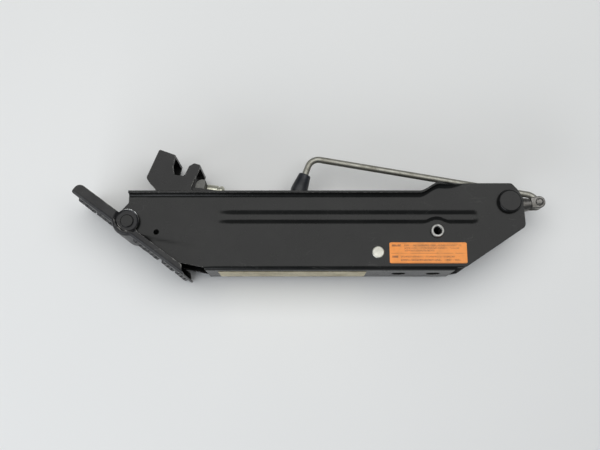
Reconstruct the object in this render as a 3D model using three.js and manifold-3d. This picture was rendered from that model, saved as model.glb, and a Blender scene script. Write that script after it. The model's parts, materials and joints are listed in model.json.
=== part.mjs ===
// Folding side-lift screw jack, lying on its side with its crank folded over the stand.
//
// Millimetres. The working frame has +X along the stand, away from the foot, +Y from the
// stand's back web towards its open side, and +Z out of the upper side wall. The arm hinge
// is at the working origin; the finished group is moved so that its box stands on z = 0.
//
// Linkage: the spindle trunnion and the trunnion nut sit at the same distance from the arm
// hinge. The spindle's axis therefore swings by exactly half of the arm's angle and always
// runs through the nut.

import * as THREE from 'three';
import { mergeVertices } from 'three/addons/utils/BufferGeometryUtils.js';
import Module from 'manifold-3d';

const wasm = await Module();
wasm.setup();

// ---------------------------------------------------------------- driving dimensions

const DEGREE = Math.PI / 180;
const FLOAT_GAP = 0.3;          // least gap between two neighbouring solids
const RUNNING_GAP = 0.3;        // radial clearance of pins in their holes

// stand (the U-channel leg)
const STAND_INNER_HALF = 24.5;  // half of the clear width between its walls
const STAND_SHEET = 2.5;
const STAND_LEFT = -325;        // lip end at the foot
const STAND_RIGHT = 95.5;
const STAND_LIP_TOP = 42.3;
const STAND_HEAD_TOP = 52;      // taller walls around the trunnion
const STAND_WEB = -41.3;        // outer face of the back web
const WEB_LEFT = -241;
const WEB_RIGHT = 17;
const LIP_WIDTH = 6.5;          // how far the lip stands out of the wall
const SHEET_BEND = 2.5;         // inner bend radius
const WEB_HOLE = 15;
const WEB_HOLES_X = [-38.4, -1.4];
const BEAD_LEFT = -240;
const BEAD_RIGHT = 47;
const BEAD_Y = 15.5;
const BEAD_WIDTH = 15;
const BEAD_DEPTH = 2;
const BEAD_CLEAR_OF_HINGE = 11; // the bead is pinched round the hinge tube
const GAUGE_HOLE = { x: -294.6, y: -1.1, diameter: 5.5 };

// foot
const FOOT_PIVOT = { x: -325, y: 10 };
const FOOT_SLOPE = -36.3;       // degrees, sole against the stand when folded
const FOOT_TOE = -67;           // ends of the sole along its length, from the pivot
const FOOT_HEEL = 83;
const HEEL_FLANGE_SHORT = 8;    // the heel flange stops before the sole does
const FOOT_SHEET = 2.5;
const SOLE_BELOW_PIVOT = 10.5;  // outer face of the sole
const EAR_RADIUS = 12.2;        // stand's ear inside the foot's bulge
const FOOT_EAR_RADIUS = 12.6;
const TOE_FLANGE = 2.3;         // flange edge above the pivot's level, toe side
const HEEL_FLANGE = -2.6;
const CLEATS_ALONG = [-55, -30, 19, 35, 57, 75];
const CLEAT_HEIGHT = 3;
const FOOT_RIVET = 9;

// arm
const ARM_LENGTH = 272;         // arm hinge to saddle pin
const ARM_DROOP = 7.82;         // degrees below the stand's length at the hinge end
const ARM_OUTER_HALF = 19.5;
const ARM_SHEET = 2.5;
const ARM_WEB = -22.4;          // outer face of its web, below the hinge line
const ARM_TOP = 14;
const ARM_NOSE = 31;            // past the saddle pin
const ARM_TAIL = 14;            // past the hinge
const WINDOW_START = 0.5;       // web window, from the nut towards the saddle
const WINDOW_END = 142;
const WINDOW_HALF_WIDTH = 13;

// saddle (the swivelling notch)
const SADDLE_SHEET = 2.5;
const SADDLE_PIN = 10;
const SADDLE_GAP = 0.7;         // arm cheek to saddle cheek

// hinge and stop
const HINGE_TUBE = 12.6;
const HINGE_BORE = 7.4;
const STOP_RIVET = { x: -62.5, y: -22.6, shank: 8, head: 13 };
const STOP_SLEEVE = 16;

// spindle
const TRUNNION = { x: 77.3, y: 31.5 };
const TRUNNION_BARREL = 22;
const TRUNNION_JOURNAL = 20;
const TRUNNION_HEAD = 25.5;
const SPINDLE = 12.4;
const EYE_DISTANCE = 39.5;      // trunnion to crank hinge
const COLLAR = 15;
const NUT_BARREL = 19;
const NUT_JOURNAL = 12;
const BEARING_OUTER = 18.4;
const BEARING_SHEET = 1.5;
const BALL = 3.4;
const END_STOP = 16.5;
const END_STOP_LENGTH = 7;
const END_STOP_FROM_END = 4;
const END_STOP_PIN = 3;
const END_STOP_GAP = 1.2;       // left between the nut and the stop when folded

// crank
const CRANK_SLOPE = -9.9;       // degrees, long leg in the folded position
const CRANK_ROD = 7;
const CRANK_OFFSET = 7.9;       // long leg's line above the crank hinge
const CRANK_REACH = 253;        // hinge to the corner, along the long leg
const CRANK_BEND = 12;
const CRANK_HOOK = 13;          // where the long leg starts to dip to its eye
const SHORT_LEG_LEAN = 10.4;    // degrees past a right angle
const GRIP_START = 20.5;        // from the corner, along the short leg
const GRIP_LENGTH = 40;
const GRIP_TOP = 13;
const GRIP_BOTTOM = 19.4;
const GRIP_NECK = 20;           // the tapered part
const CRANK_EYE = 12.4;
const CRANK_PIN = 5;
const FORK_WIDTH = 14.8;
const FORK_EAR = 13;
const CAP_THICKNESS = 1.8;      // retaining washer of the grip

// labels
const LABEL_SHEET = 0.4;
const SIDE_LABEL = { x0: -50.6, x1: 30, y0: -34.2, y1: -12.2 };
const WEB_LABEL = { x0: -230, x1: -74, half: 18 };

// ---------------------------------------------------------------- tools

// A solid from a three.js geometry: only positions are kept and shared corners merged.
function solidOf(geometry) {
  const bare = geometry.index ? geometry.toNonIndexed() : geometry.clone();
  bare.deleteAttribute('normal');
  bare.deleteAttribute('uv');
  const merged = mergeVertices(bare, 1e-4);
  return new wasm.Manifold(new wasm.Mesh({
    numProp: 3,
    vertProperties: new Float32Array(merged.attributes.position.array),
    triVerts: new Uint32Array(merged.index.array),
  }));
}

function meshOf(name, solid, material) {
  const raw = solid.getMesh();
  const geometry = new THREE.BufferGeometry();
  geometry.setAttribute('position', new THREE.BufferAttribute(raw.vertProperties, 3));
  geometry.setIndex(new THREE.BufferAttribute(raw.triVerts, 1));
  geometry.computeVertexNormals();
  const mesh = new THREE.Mesh(geometry, material.clone());
  mesh.name = name;
  return mesh;
}

// An outline whose corners [x, y, radius] are rounded by arcs, for either turning sense.
function roundedShape(corners) {
  const points = [];
  corners.forEach(([x, y, radius = 0], i) => {
    const corner = new THREE.Vector2(x, y);
    const before = new THREE.Vector2(...corners[(i + corners.length - 1) % corners.length]);
    const after = new THREE.Vector2(...corners[(i + 1) % corners.length]);
    const inward = before.sub(corner).normalize();
    const outward = after.sub(corner).normalize();
    if (radius === 0) {
      points.push(corner);
      return;
    }
    const half = Math.acos(THREE.MathUtils.clamp(inward.dot(outward), -1, 1)) / 2;
    const middle = inward.clone().add(outward).normalize();
    const centre = corner.clone().addScaledVector(middle, radius / Math.sin(half));
    const start = corner.clone().addScaledVector(inward, radius / Math.tan(half)).sub(centre);
    const end = corner.clone().addScaledVector(outward, radius / Math.tan(half)).sub(centre);
    const turn = Math.atan2(start.cross(end), start.dot(end));
    const steps = Math.max(2, Math.ceil(Math.abs(turn) / (22 * DEGREE)));
    for (let k = 0; k <= steps; k += 1) {
      const spoke = start.clone().rotateAround(new THREE.Vector2(), turn * k / steps);
      points.push(centre.clone().add(spoke));
    }
  });
  return new THREE.Shape(points);
}

// A prism of an XY outline between two heights.
function plate(corners, z0, z1) {
  const geometry = new THREE.ExtrudeGeometry(roundedShape(corners), {
    depth: z1 - z0, steps: 1, bevelEnabled: false,
  });
  return solidOf(geometry.translate(0, 0, z0));
}

// Sides of a round piece: enough for its size, and an even number.
function sidesFor(diameter) {
  return 2 * Math.round(5 + Math.min(9, diameter / 3));
}

// A round bar standing along Z; the radius may change from one end to the other.
function disc(x, y, diameter, z0, z1, topDiameter = diameter, sides = sidesFor(diameter)) {
  const geometry = new THREE.CylinderGeometry(topDiameter / 2, diameter / 2, z1 - z0, sides);
  return solidOf(geometry.rotateX(Math.PI / 2).translate(x, y, (z0 + z1) / 2));
}

// A round bar along X.
function bar(x0, x1, diameter, y = 0, z = 0, endDiameter = diameter, sides = sidesFor(diameter)) {
  const geometry = new THREE.CylinderGeometry(endDiameter / 2, diameter / 2, x1 - x0, sides);
  return solidOf(geometry.rotateZ(-Math.PI / 2).translate((x0 + x1) / 2, y, z));
}

function box(x0, x1, y0, y1, z0, z1) {
  const geometry = new THREE.BoxGeometry(x1 - x0, y1 - y0, z1 - z0);
  return solidOf(geometry.translate((x0 + x1) / 2, (y0 + y1) / 2, (z0 + z1) / 2));
}

function bothSides(make) {
  return make(1).add(make(-1));
}

// A span of heights above the middle plane, or its mirror image below it.
function sorted(side, a, b) {
  return side > 0 ? [a, b] : [-b, -a];
}

function joined(solids) {
  return solids.reduce((whole, next) => whole.add(next));
}

function without(solid, cuts) {
  return cuts.reduce((rest, cut) => rest.subtract(cut), solid);
}

function finish(colour, roughness, metalness) {
  return new THREE.MeshStandardMaterial({ color: colour, roughness, metalness });
}

const blackPaint = finish(0x2b2c2b, 0.45, 0.1);
const wornPaint = finish(0x3a3b3b, 0.55, 0.2);
const zinc = finish(0xc9c8bd, 0.35, 0.9);
const steel = finish(0xa7a79d, 0.4, 0.9);
const darkSteel = finish(0x55554f, 0.45, 0.8);
const gripPlastic = finish(0x17181c, 0.35, 0.0);
const orangeLabel = finish(0xe08a3c, 0.6, 0.0);
const creamLabel = finish(0xb5a87e, 0.7, 0.0);

// Where the trunnion nut lies, and the spindle's line from it to the trunnion.
const nutReach = Math.hypot(TRUNNION.x, TRUNNION.y);
const nutToTrunnion = new THREE.Vector2(
  TRUNNION.x + nutReach * Math.cos(ARM_DROOP * DEGREE),
  TRUNNION.y - nutReach * Math.sin(ARM_DROOP * DEGREE));
const spindleSlope = nutToTrunnion.angle();
const stopCentre = -(nutToTrunnion.length() + NUT_BARREL / 2 + END_STOP_GAP
  + END_STOP_LENGTH / 2);
const spindleEnd = stopCentre - END_STOP_LENGTH / 2 - END_STOP_FROM_END;

const jack = new THREE.Group();
const onFoot = new THREE.Group();
onFoot.position.set(FOOT_PIVOT.x, FOOT_PIVOT.y, 0);
onFoot.rotation.z = FOOT_SLOPE * DEGREE;
const onArm = new THREE.Group();
onArm.rotation.z = -ARM_DROOP * DEGREE;
const onSpindle = new THREE.Group();
onSpindle.position.set(TRUNNION.x, TRUNNION.y, 0);
onSpindle.rotation.z = spindleSlope;
const onCrank = new THREE.Group();
onCrank.position.set(EYE_DISTANCE, 0, 0);
onCrank.rotation.z = CRANK_SLOPE * DEGREE - spindleSlope;
onSpindle.add(onCrank);
jack.add(onFoot, onArm, onSpindle);

const STAND_HALF = STAND_INNER_HALF + STAND_SHEET;
// The lips, the foot and the trunnion heads all reach the same plane on each side.
const SIDE_PLANE = STAND_HALF + LIP_WIDTH;

// ---------------------------------------------------------------- stand

// A channel section across X; walls reach wallTop and may turn out into a lip there.
function channel(x0, x1, wallTop, lip) {
  const outer = STAND_HALF;
  const inner = STAND_INNER_HALF;
  const bend = SHEET_BEND;
  const round = SHEET_BEND + STAND_SHEET;
  const half = lip
    ? [[outer, STAND_WEB, round], [outer, wallTop - STAND_SHEET, bend],
      [outer + lip, wallTop - STAND_SHEET], [outer + lip, wallTop], [inner, wallTop, round]]
    : [[outer, STAND_WEB, round], [outer, wallTop], [inner, wallTop]];
  half.push([inner, STAND_WEB + STAND_SHEET, bend]);
  const mirrored = half.map(([z, y, radius]) => [-z, y, radius]).reverse();
  const geometry = new THREE.ExtrudeGeometry(roundedShape([...half, ...mirrored]), {
    depth: x1 - x0, steps: 1, bevelEnabled: false,
  });
  return solidOf(geometry.rotateY(Math.PI / 2).translate(x0, 0, 0));
}

function footPoint(along, above) {
  const turned = new THREE.Vector2(along, above)
    .rotateAround(new THREE.Vector2(), FOOT_SLOPE * DEGREE);
  return [FOOT_PIVOT.x + turned.x, FOOT_PIVOT.y + turned.y];
}

function standChannel() {
  const jogLeft = -18;
  const jogRight = 4;
  const overlap = 8;
  const depth = STAND_WEB - 5;
  const wallEdge = 2 - SOLE_BELOW_PIVOT + FOOT_SHEET;
  const sections = channel(STAND_LEFT - 30, jogRight - overlap, STAND_LIP_TOP, LIP_WIDTH)
    .add(channel(jogLeft - overlap, STAND_RIGHT + 5, STAND_HEAD_TOP, 0));
  const profile = plate([
    [STAND_LEFT, STAND_LIP_TOP + 0.5],
    [STAND_LEFT, STAND_LIP_TOP - 12, 3],
    [FOOT_PIVOT.x - EAR_RADIUS + 2.5, FOOT_PIVOT.y + 9.5, 3],
    [...footPoint(-6, 3)],
    [...footPoint(0, wallEdge), 2],
    [...footPoint(62, wallEdge), 4],
    [WEB_LEFT - 3, STAND_WEB + 3, 2],
    [WEB_LEFT, depth],
    [WEB_RIGHT - 2, depth],
    [WEB_RIGHT + 2, STAND_WEB + 2.2, 2],
    [29.4, STAND_WEB + 3.7, 5],
    [STAND_RIGHT - 1, 5, 6],
    [STAND_RIGHT - 2, 36, 6],
    [STAND_RIGHT - 7.5, 45.5, 8],
    [81, STAND_HEAD_TOP + 0.01, 4],
    [jogRight + 2, STAND_HEAD_TOP + 0.01, 9],
    [jogLeft, STAND_LIP_TOP + 0.01, 9],
    [STAND_LEFT + 20, STAND_LIP_TOP + 0.01],
  ], -60, 60).add(disc(FOOT_PIVOT.x, FOOT_PIVOT.y, 2 * EAR_RADIUS, -60, 60));
  // The bead is pressed inwards: a pocket outside and a ridge inside, 2 mm wider all round.
  const beadPlate = (spread, ...heights) => {
    const half = BEAD_WIDTH / 2 + spread;
    const round = half - 0.5;
    return plate([
      [BEAD_LEFT - spread, BEAD_Y - half, round], [BEAD_RIGHT + spread, BEAD_Y - half, round],
      [BEAD_RIGHT + spread, BEAD_Y + half, round], [BEAD_LEFT - spread, BEAD_Y + half, round],
    ], ...heights).subtract(disc(0, 0, 2 * (BEAD_CLEAR_OF_HINGE - spread), -60, 60));
  };
  const ridges = bothSides((side) => beadPlate(1,
    ...sorted(side, STAND_INNER_HALF - BEAD_DEPTH, STAND_INNER_HALF + 0.5)));
  const pockets = bothSides((side) => beadPlate(-1,
    ...sorted(side, STAND_HALF - BEAD_DEPTH, STAND_HALF + 1)));
  const across = [-60, 60];
  const webHoles = WEB_HOLES_X.map((x) => solidOf(
    new THREE.CylinderGeometry(WEB_HOLE / 2, WEB_HOLE / 2, 20, 20).translate(x, STAND_WEB, 0)));
  return without(sections.intersect(profile).add(ridges), [
    pockets,
    disc(0, 0, HINGE_TUBE + 2 * RUNNING_GAP, ...across),
    disc(STOP_RIVET.x, STOP_RIVET.y, STOP_RIVET.shank + 2 * RUNNING_GAP, ...across),
    disc(FOOT_PIVOT.x, FOOT_PIVOT.y, FOOT_RIVET + 2 * RUNNING_GAP, ...across),
    disc(TRUNNION.x, TRUNNION.y, TRUNNION_JOURNAL + 2 * RUNNING_GAP, ...across),
    disc(GAUGE_HOLE.x, GAUGE_HOLE.y, GAUGE_HOLE.diameter, ...across),
    ...webHoles,
  ]);
}

jack.add(meshOf('stand_channel', standChannel(), blackPaint));

// Hollow rivet that is the arm's hinge: a tube with flared ends over two outer washers.
const washerOut = STAND_HALF + FLOAT_GAP + 1.2;
function hingeTube() {
  const end = washerOut + FLOAT_GAP + 1.6;
  const flares = bothSides((side) => disc(0, 0, HINGE_TUBE + 1.6,
    ...sorted(side, washerOut + FLOAT_GAP, end)));
  return disc(0, 0, HINGE_TUBE, -end, end).add(flares)
    .subtract(disc(0, 0, HINGE_BORE, -end - 1, end + 1));
}
jack.add(meshOf('arm_hinge_tube', hingeTube(), steel));

function ring(x, y, outer, bore, z0, z1) {
  return disc(x, y, outer, z0, z1).subtract(disc(x, y, bore, z0 - 1, z1 + 1));
}

for (const [label, side] of [['upper', 1], ['lower', -1]]) {
  const seat = sorted(side, STAND_HALF + FLOAT_GAP, washerOut);
  jack.add(meshOf(`hinge_washer_${label}`,
    ring(0, 0, HINGE_TUBE + 2, HINGE_TUBE + 2 * RUNNING_GAP, ...seat), darkSteel));
  const gap = sorted(side, ARM_OUTER_HALF + FLOAT_GAP, STAND_INNER_HALF - FLOAT_GAP);
  jack.add(meshOf(`hinge_spacer_${label}`,
    ring(0, 0, HINGE_TUBE + 4, HINGE_TUBE + 2 * RUNNING_GAP, ...gap), darkSteel));
}

// Rest for the folded arm: a rivet through both walls, with a loose sleeve on its shank.
function stopRivet() {
  const under = STAND_HALF + FLOAT_GAP;
  const heads = bothSides((side) => disc(STOP_RIVET.x, STOP_RIVET.y, STOP_RIVET.head,
    ...sorted(side, under, under + 2)));
  return disc(STOP_RIVET.x, STOP_RIVET.y, STOP_RIVET.shank, -under - 1, under + 1).add(heads);
}
jack.add(meshOf('stop_rivet', stopRivet(), zinc));
jack.add(meshOf('stop_sleeve', ring(STOP_RIVET.x, STOP_RIVET.y, STOP_SLEEVE,
  STOP_RIVET.shank + 2 * RUNNING_GAP, FLOAT_GAP - STAND_INNER_HALF,
  STAND_INNER_HALF - FLOAT_GAP), darkSteel));

const labelFace = STAND_HALF + FLOAT_GAP;
jack.add(meshOf('side_label', box(SIDE_LABEL.x0, SIDE_LABEL.x1, SIDE_LABEL.y0, SIDE_LABEL.y1,
  labelFace, labelFace + LABEL_SHEET), orangeLabel));
jack.add(meshOf('web_label', box(WEB_LABEL.x0, WEB_LABEL.x1,
  STAND_WEB - FLOAT_GAP - LABEL_SHEET, STAND_WEB - FLOAT_GAP,
  -WEB_LABEL.half, WEB_LABEL.half), creamLabel));

// ---------------------------------------------------------------- foot

const EAR_IN = STAND_HALF + 0.8;
const EAR_OUT = EAR_IN + FOOT_SHEET;

function footPlate() {
  const low = -SOLE_BELOW_PIVOT;
  const sole = plate([
    [FOOT_TOE, low, 2], [FOOT_HEEL, low, 2],
    [FOOT_HEEL, low + FOOT_SHEET, 0.4], [FOOT_TOE, low + FOOT_SHEET, 0.4],
  ], -SIDE_PLANE, SIDE_PLANE);
  const bulge = disc(0, 0, 2 * (EAR_RADIUS + 1 + FOOT_SHEET), -SIDE_PLANE,
    SIDE_PLANE, undefined, 32).subtract(box(-40, 40, low + FOOT_SHEET, 40, -60, 60));
  const hollow = disc(0, 0, 2 * (EAR_RADIUS + 1), FLOAT_GAP - EAR_IN, EAR_IN - FLOAT_GAP,
    undefined, 32);
  // Each ear is dished from the flange down to the stand's wall.
  const dish = bothSides((side) => disc(0, 0, 2 * (FOOT_EAR_RADIUS - FOOT_SHEET),
    ...sorted(side, EAR_OUT, SIDE_PLANE + 1)));
  const flanges = bothSides((side) => plate([
    [FOOT_TOE, low + 0.5, 2], [FOOT_HEEL - HEEL_FLANGE_SHORT + 5, low + 0.5],
    [FOOT_HEEL - HEEL_FLANGE_SHORT, HEEL_FLANGE, 3],
    [FOOT_EAR_RADIUS + 4, HEEL_FLANGE, 5], [FOOT_EAR_RADIUS - 6, HEEL_FLANGE + 3, 2],
    [-FOOT_EAR_RADIUS, TOE_FLANGE, 4], [FOOT_TOE, TOE_FLANGE, 7],
  ], ...sorted(side, SIDE_PLANE - FOOT_SHEET, SIDE_PLANE))
    .add(disc(0, 0, 2 * FOOT_EAR_RADIUS, ...sorted(side, EAR_IN, SIDE_PLANE))));
  const cleats = CLEATS_ALONG.flatMap((along) => [-1, 0, 1].map((place) => plate([
    [along - 3.4, low + 0.8], [along - 1.6, low - CLEAT_HEIGHT],
    [along + 1.6, low - CLEAT_HEIGHT], [along + 3.4, low + 0.8],
  ], place * 20 - 7, place * 20 + 7)));
  return without(joined([sole, bulge, flanges, ...cleats]), [
    hollow,
    dish,
    disc(0, 0, FOOT_RIVET + 2 * RUNNING_GAP, -60, 60),
  ]);
}
onFoot.add(meshOf('foot_plate', footPlate(), wornPaint));

for (const [label, side] of [['upper', 1], ['lower', -1]]) {
  const inside = sorted(side, STAND_INNER_HALF - FLOAT_GAP - 1.4, STAND_INNER_HALF - FLOAT_GAP);
  const outside = sorted(side, EAR_OUT + FLOAT_GAP, EAR_OUT + FLOAT_GAP + 1.6);
  const shank = sorted(side, inside[side > 0 ? 0 : 1] * side, outside[side > 0 ? 1 : 0] * side);
  jack.add(meshOf(`foot_rivet_${label}`, joined([
    disc(FOOT_PIVOT.x, FOOT_PIVOT.y, FOOT_RIVET, ...shank),
    disc(FOOT_PIVOT.x, FOOT_PIVOT.y, FOOT_RIVET + 4, ...inside),
    disc(FOOT_PIVOT.x, FOOT_PIVOT.y, FOOT_RIVET + 5, ...outside),
  ]), blackPaint));
}

// ---------------------------------------------------------------- arm

const ARM_INNER_HALF = ARM_OUTER_HALF - ARM_SHEET;
const noseEnd = -ARM_LENGTH - ARM_NOSE;

function armChannel() {
  const outside = plate([
    [ARM_TAIL, ARM_WEB, 10], [ARM_TAIL, ARM_TOP, 12], [noseEnd, ARM_TOP, 6],
    [noseEnd + 4, ARM_WEB, 9],
  ], -ARM_OUTER_HALF, ARM_OUTER_HALF);
  const hollow = box(noseEnd - 5, ARM_TAIL + 5, ARM_WEB + ARM_SHEET, ARM_TOP + 5,
    -ARM_INNER_HALF, ARM_INNER_HALF);
  const cornerCuts = bothSides((side) => {
    const corner = box(noseEnd - 5, ARM_TAIL + 5, ARM_WEB - 1, ARM_WEB + 3,
      ...sorted(side, ARM_OUTER_HALF - 3, ARM_OUTER_HALF + 1));
    return corner.subtract(bar(noseEnd - 6, ARM_TAIL + 6, 6, ARM_WEB + 3,
      side * (ARM_OUTER_HALF - 3)));
  });
  const window = box(-nutReach - WINDOW_END, -nutReach - WINDOW_START, ARM_WEB - 2,
    ARM_WEB + ARM_SHEET + 1, -WINDOW_HALF_WIDTH, WINDOW_HALF_WIDTH);
  const pinHole = (x, diameter) => disc(x, 0, diameter + 2 * RUNNING_GAP, -60, 60);
  return without(outside, [hollow, cornerCuts, window,
    pinHole(0, HINGE_TUBE), pinHole(-nutReach, NUT_JOURNAL), pinHole(-ARM_LENGTH, SADDLE_PIN)]);
}
onArm.add(meshOf('arm_channel', armChannel(), blackPaint));

// Saddle pin with thin heads, and the spacer that keeps the arm's cheeks apart on it.
const SADDLE_IN = ARM_OUTER_HALF + SADDLE_GAP;
const SADDLE_OUT = SADDLE_IN + SADDLE_SHEET;
const pinEnd = STAND_INNER_HALF - FLOAT_GAP;
onArm.add(meshOf('saddle_pin', disc(-ARM_LENGTH, 0, SADDLE_PIN, -pinEnd, pinEnd)
  .add(bothSides((side) => disc(-ARM_LENGTH, 0, SADDLE_PIN + 5,
    ...sorted(side, SADDLE_OUT + FLOAT_GAP, pinEnd)))), darkSteel));
onArm.add(meshOf('saddle_pin_spacer', ring(-ARM_LENGTH, 0, SADDLE_PIN + 4,
  SADDLE_PIN + 2 * RUNNING_GAP, FLOAT_GAP - ARM_INNER_HALF, ARM_INNER_HALF - FLOAT_GAP),
darkSteel));

// Block between the cheeks, and the plated stop bolt that it carries along the arm.
const boltLine = 17.5;
const boltDiameter = 12.4;
const blockStart = -ARM_LENGTH + 10;
const blockEnd = blockStart + 11;
onArm.add(meshOf('stop_bolt_block', without(plate([
  [blockStart, -6, 2], [blockEnd, -6, 2], [blockEnd, boltLine + 7.4, 3],
  [blockStart, boltLine + 7.4, 8],
], FLOAT_GAP - ARM_INNER_HALF, ARM_INNER_HALF - FLOAT_GAP),
[bar(blockStart - 2, blockEnd + 2, 8 + 2 * RUNNING_GAP, boltLine)]), darkSteel));
onArm.add(meshOf('stop_bolt', joined([
  bar(blockStart - 1, blockEnd + 4, 8, boltLine),
  bar(blockEnd + FLOAT_GAP, blockEnd + 12, boltDiameter, boltLine),
  bar(blockEnd + 12, blockEnd + 14.5, boltDiameter - 2.4, boltLine),
  bar(blockEnd + 14.5, blockEnd + 17, boltDiameter, boltLine),
  bar(blockEnd + 17, blockEnd + 19, boltDiameter, boltLine, 0, boltDiameter - 4),
]), zinc));

// Trunnion nut: a cross barrel with a journal in each cheek, bored along the spindle.
const nutGroup = new THREE.Group();
nutGroup.position.set(-nutReach, 0, 0);
nutGroup.rotation.z = spindleSlope + ARM_DROOP * DEGREE;
onArm.add(nutGroup);
const nutFace = ARM_INNER_HALF - FLOAT_GAP;
const nutEnd = ARM_OUTER_HALF + FLOAT_GAP + 2.4;
nutGroup.add(meshOf('trunnion_nut', without(joined([
  disc(0, 0, NUT_BARREL, -nutFace, nutFace),
  disc(0, 0, NUT_JOURNAL, -nutEnd, nutEnd),
]), [bar(-20, 20, SPINDLE + 2 * RUNNING_GAP)]), steel));
for (const [label, side] of [['upper', 1], ['lower', -1]]) {
  onArm.add(meshOf(`nut_washer_${label}`, ring(-nutReach, 0, NUT_JOURNAL + 5,
    NUT_JOURNAL + 2 * RUNNING_GAP,
    ...sorted(side, ARM_OUTER_HALF + FLOAT_GAP, ARM_OUTER_HALF + FLOAT_GAP + 1.4)), darkSteel));
}

// ---------------------------------------------------------------- saddle

const onSaddle = new THREE.Group();
onSaddle.rotation.z = ARM_DROOP * DEGREE;
onSaddle.position.set(-ARM_LENGTH, 0, 0);
onArm.add(onSaddle);

// Side view about the saddle pin; a lobe on either side of the notch.
const SADDLE_OUTLINE = [
  [-8, -12, 8], [12, -8, 9], [9.5, 12.5, 3], [16.6, 29.5, 2], [18.8, 36.4, 1.5],
  [11.6, 38.4, 2.5], [6.3, 35.2, 2], [2.2, 26, 1], [0.5, 24.4, 1.2], [-9.6, 25.6, 1.5],
  [-11, 35.2, 2], [-8.4, 47.4, 1], [-26.4, 54, 2], [-39.2, 22.2, 4], [-35, 15.8, 3],
];

function saddle() {
  const outline = (z0, z1) => plate(SADDLE_OUTLINE, z0, z1);
  const cheeks = bothSides((side) => outline(...sorted(side, SADDLE_IN, SADDLE_OUT)));
  const core = outline(-SADDLE_OUT, SADDLE_OUT);
  const leftWeb = plate([[-44, 30], [-35.5, 29], [-24.6, 50.5, 2], [-7, 44.2], [-7, 60],
    [-44, 60]], -SADDLE_OUT, SADDLE_OUT);
  const rightWeb = plate([[7.6, 34.5], [11.8, 35.6], [17.4, 33.6], [22, 32], [24, 42], [7.6, 42]],
    -SADDLE_OUT, SADDLE_OUT);
  const folded = core.intersect(leftWeb.add(rightWeb));
  return cheeks.add(folded).subtract(disc(0, 0, SADDLE_PIN + 2 * RUNNING_GAP, -60, 60));
}
onSaddle.add(meshOf('saddle', saddle(), blackPaint));

// ---------------------------------------------------------------- spindle

const spindleBore = SPINDLE + 2 * RUNNING_GAP;
const seatFace = 9.5;
const washerStart = seatFace + FLOAT_GAP;
const ballStart = washerStart + BEARING_SHEET + FLOAT_GAP;
const outerWasherStart = ballStart + BALL + FLOAT_GAP;
const collarStart = outerWasherStart + BEARING_SHEET + FLOAT_GAP;
const collarEnd = collarStart + 7;

function trunnion() {
  const inner = STAND_INNER_HALF - FLOAT_GAP;
  const under = STAND_HALF + FLOAT_GAP;
  const heads = bothSides((side) => {
    const rim = 1.2;
    const [z0, z1] = sorted(side, under, SIDE_PLANE - rim);
    const [top0, top1] = sorted(side, SIDE_PLANE - rim, SIDE_PLANE);
    const [wide, narrow] = [TRUNNION_HEAD, TRUNNION_HEAD - 2 * rim];
    return disc(0, 0, wide, z0, z1).add(side > 0
      ? disc(0, 0, wide, top0, top1, narrow) : disc(0, 0, narrow, top0, top1, wide));
  });
  return without(joined([
    disc(0, 0, TRUNNION_BARREL, -inner, inner),
    disc(0, 0, TRUNNION_JOURNAL, -under - 1, under + 1),
    heads,
  ]), [
    bar(-20, 20, spindleBore),
    box(seatFace, 20, -20, 20, -inner + 4, inner - 4),
  ]);
}
onSpindle.add(meshOf('trunnion', trunnion(), blackPaint));

function ringOnSpindle(x0, x1, outer) {
  return bar(x0, x1, outer).subtract(bar(x0 - 1, x1 + 1, spindleBore));
}
onSpindle.add(meshOf('thrust_washer_inner', ringOnSpindle(washerStart,
  washerStart + BEARING_SHEET, BEARING_OUTER), steel));
onSpindle.add(meshOf('thrust_ball_ring', ringOnSpindle(ballStart, ballStart + BALL,
  BEARING_OUTER - 1.6), steel));
onSpindle.add(meshOf('thrust_washer_outer', ringOnSpindle(outerWasherStart,
  outerWasherStart + BEARING_SHEET, BEARING_OUTER), steel));

function pinAcross(diameter, half) {
  return disc(stopCentre, 0, diameter, -half, half, undefined, 16);
}

function spindleScrew() {
  const forkStart = EYE_DISTANCE - 12;
  const nose = joined([
    bar(collarStart, collarEnd, COLLAR),
    bar(collarEnd, EYE_DISTANCE - 6, COLLAR, 0, 0, FORK_EAR),
  ]);
  const fork = joined([
    box(forkStart + 3, EYE_DISTANCE, -FORK_EAR / 2, FORK_EAR / 2, -FORK_WIDTH / 2, FORK_WIDTH / 2),
    disc(EYE_DISTANCE, 0, FORK_EAR, -FORK_WIDTH / 2, FORK_WIDTH / 2),
  ]);
  const slotHalf = CRANK_ROD / 2 + 0.4;
  return without(joined([bar(spindleEnd, collarStart + 1, SPINDLE), nose, fork]), [
    box(forkStart + 0.5, EYE_DISTANCE + 20, -20, 20, -slotHalf, slotHalf),
    disc(EYE_DISTANCE, 0, CRANK_PIN + 2 * RUNNING_GAP, -20, 20),
    pinAcross(END_STOP_PIN + 2 * RUNNING_GAP, 20),
  ]);
}
onSpindle.add(meshOf('spindle_screw', spindleScrew(), steel));
onSpindle.add(meshOf('spindle_end_stop', ringOnSpindle(stopCentre - END_STOP_LENGTH / 2,
  stopCentre + END_STOP_LENGTH / 2, END_STOP)
  .subtract(pinAcross(END_STOP_PIN + 2 * RUNNING_GAP, 20)), darkSteel));
onSpindle.add(meshOf('end_stop_pin', pinAcross(END_STOP_PIN, END_STOP / 2 - 0.4), steel));

const crankPinUnder = FORK_WIDTH / 2 + FLOAT_GAP;
onSpindle.add(meshOf('crank_hinge_pin', joined([
  disc(EYE_DISTANCE, 0, CRANK_PIN, -crankPinUnder - 1, crankPinUnder + 1),
  bothSides((side) => disc(EYE_DISTANCE, 0, CRANK_PIN + 3.6,
    ...sorted(side, crankPinUnder, crankPinUnder + 1.8))),
]), steel));

// ---------------------------------------------------------------- crank

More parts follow.
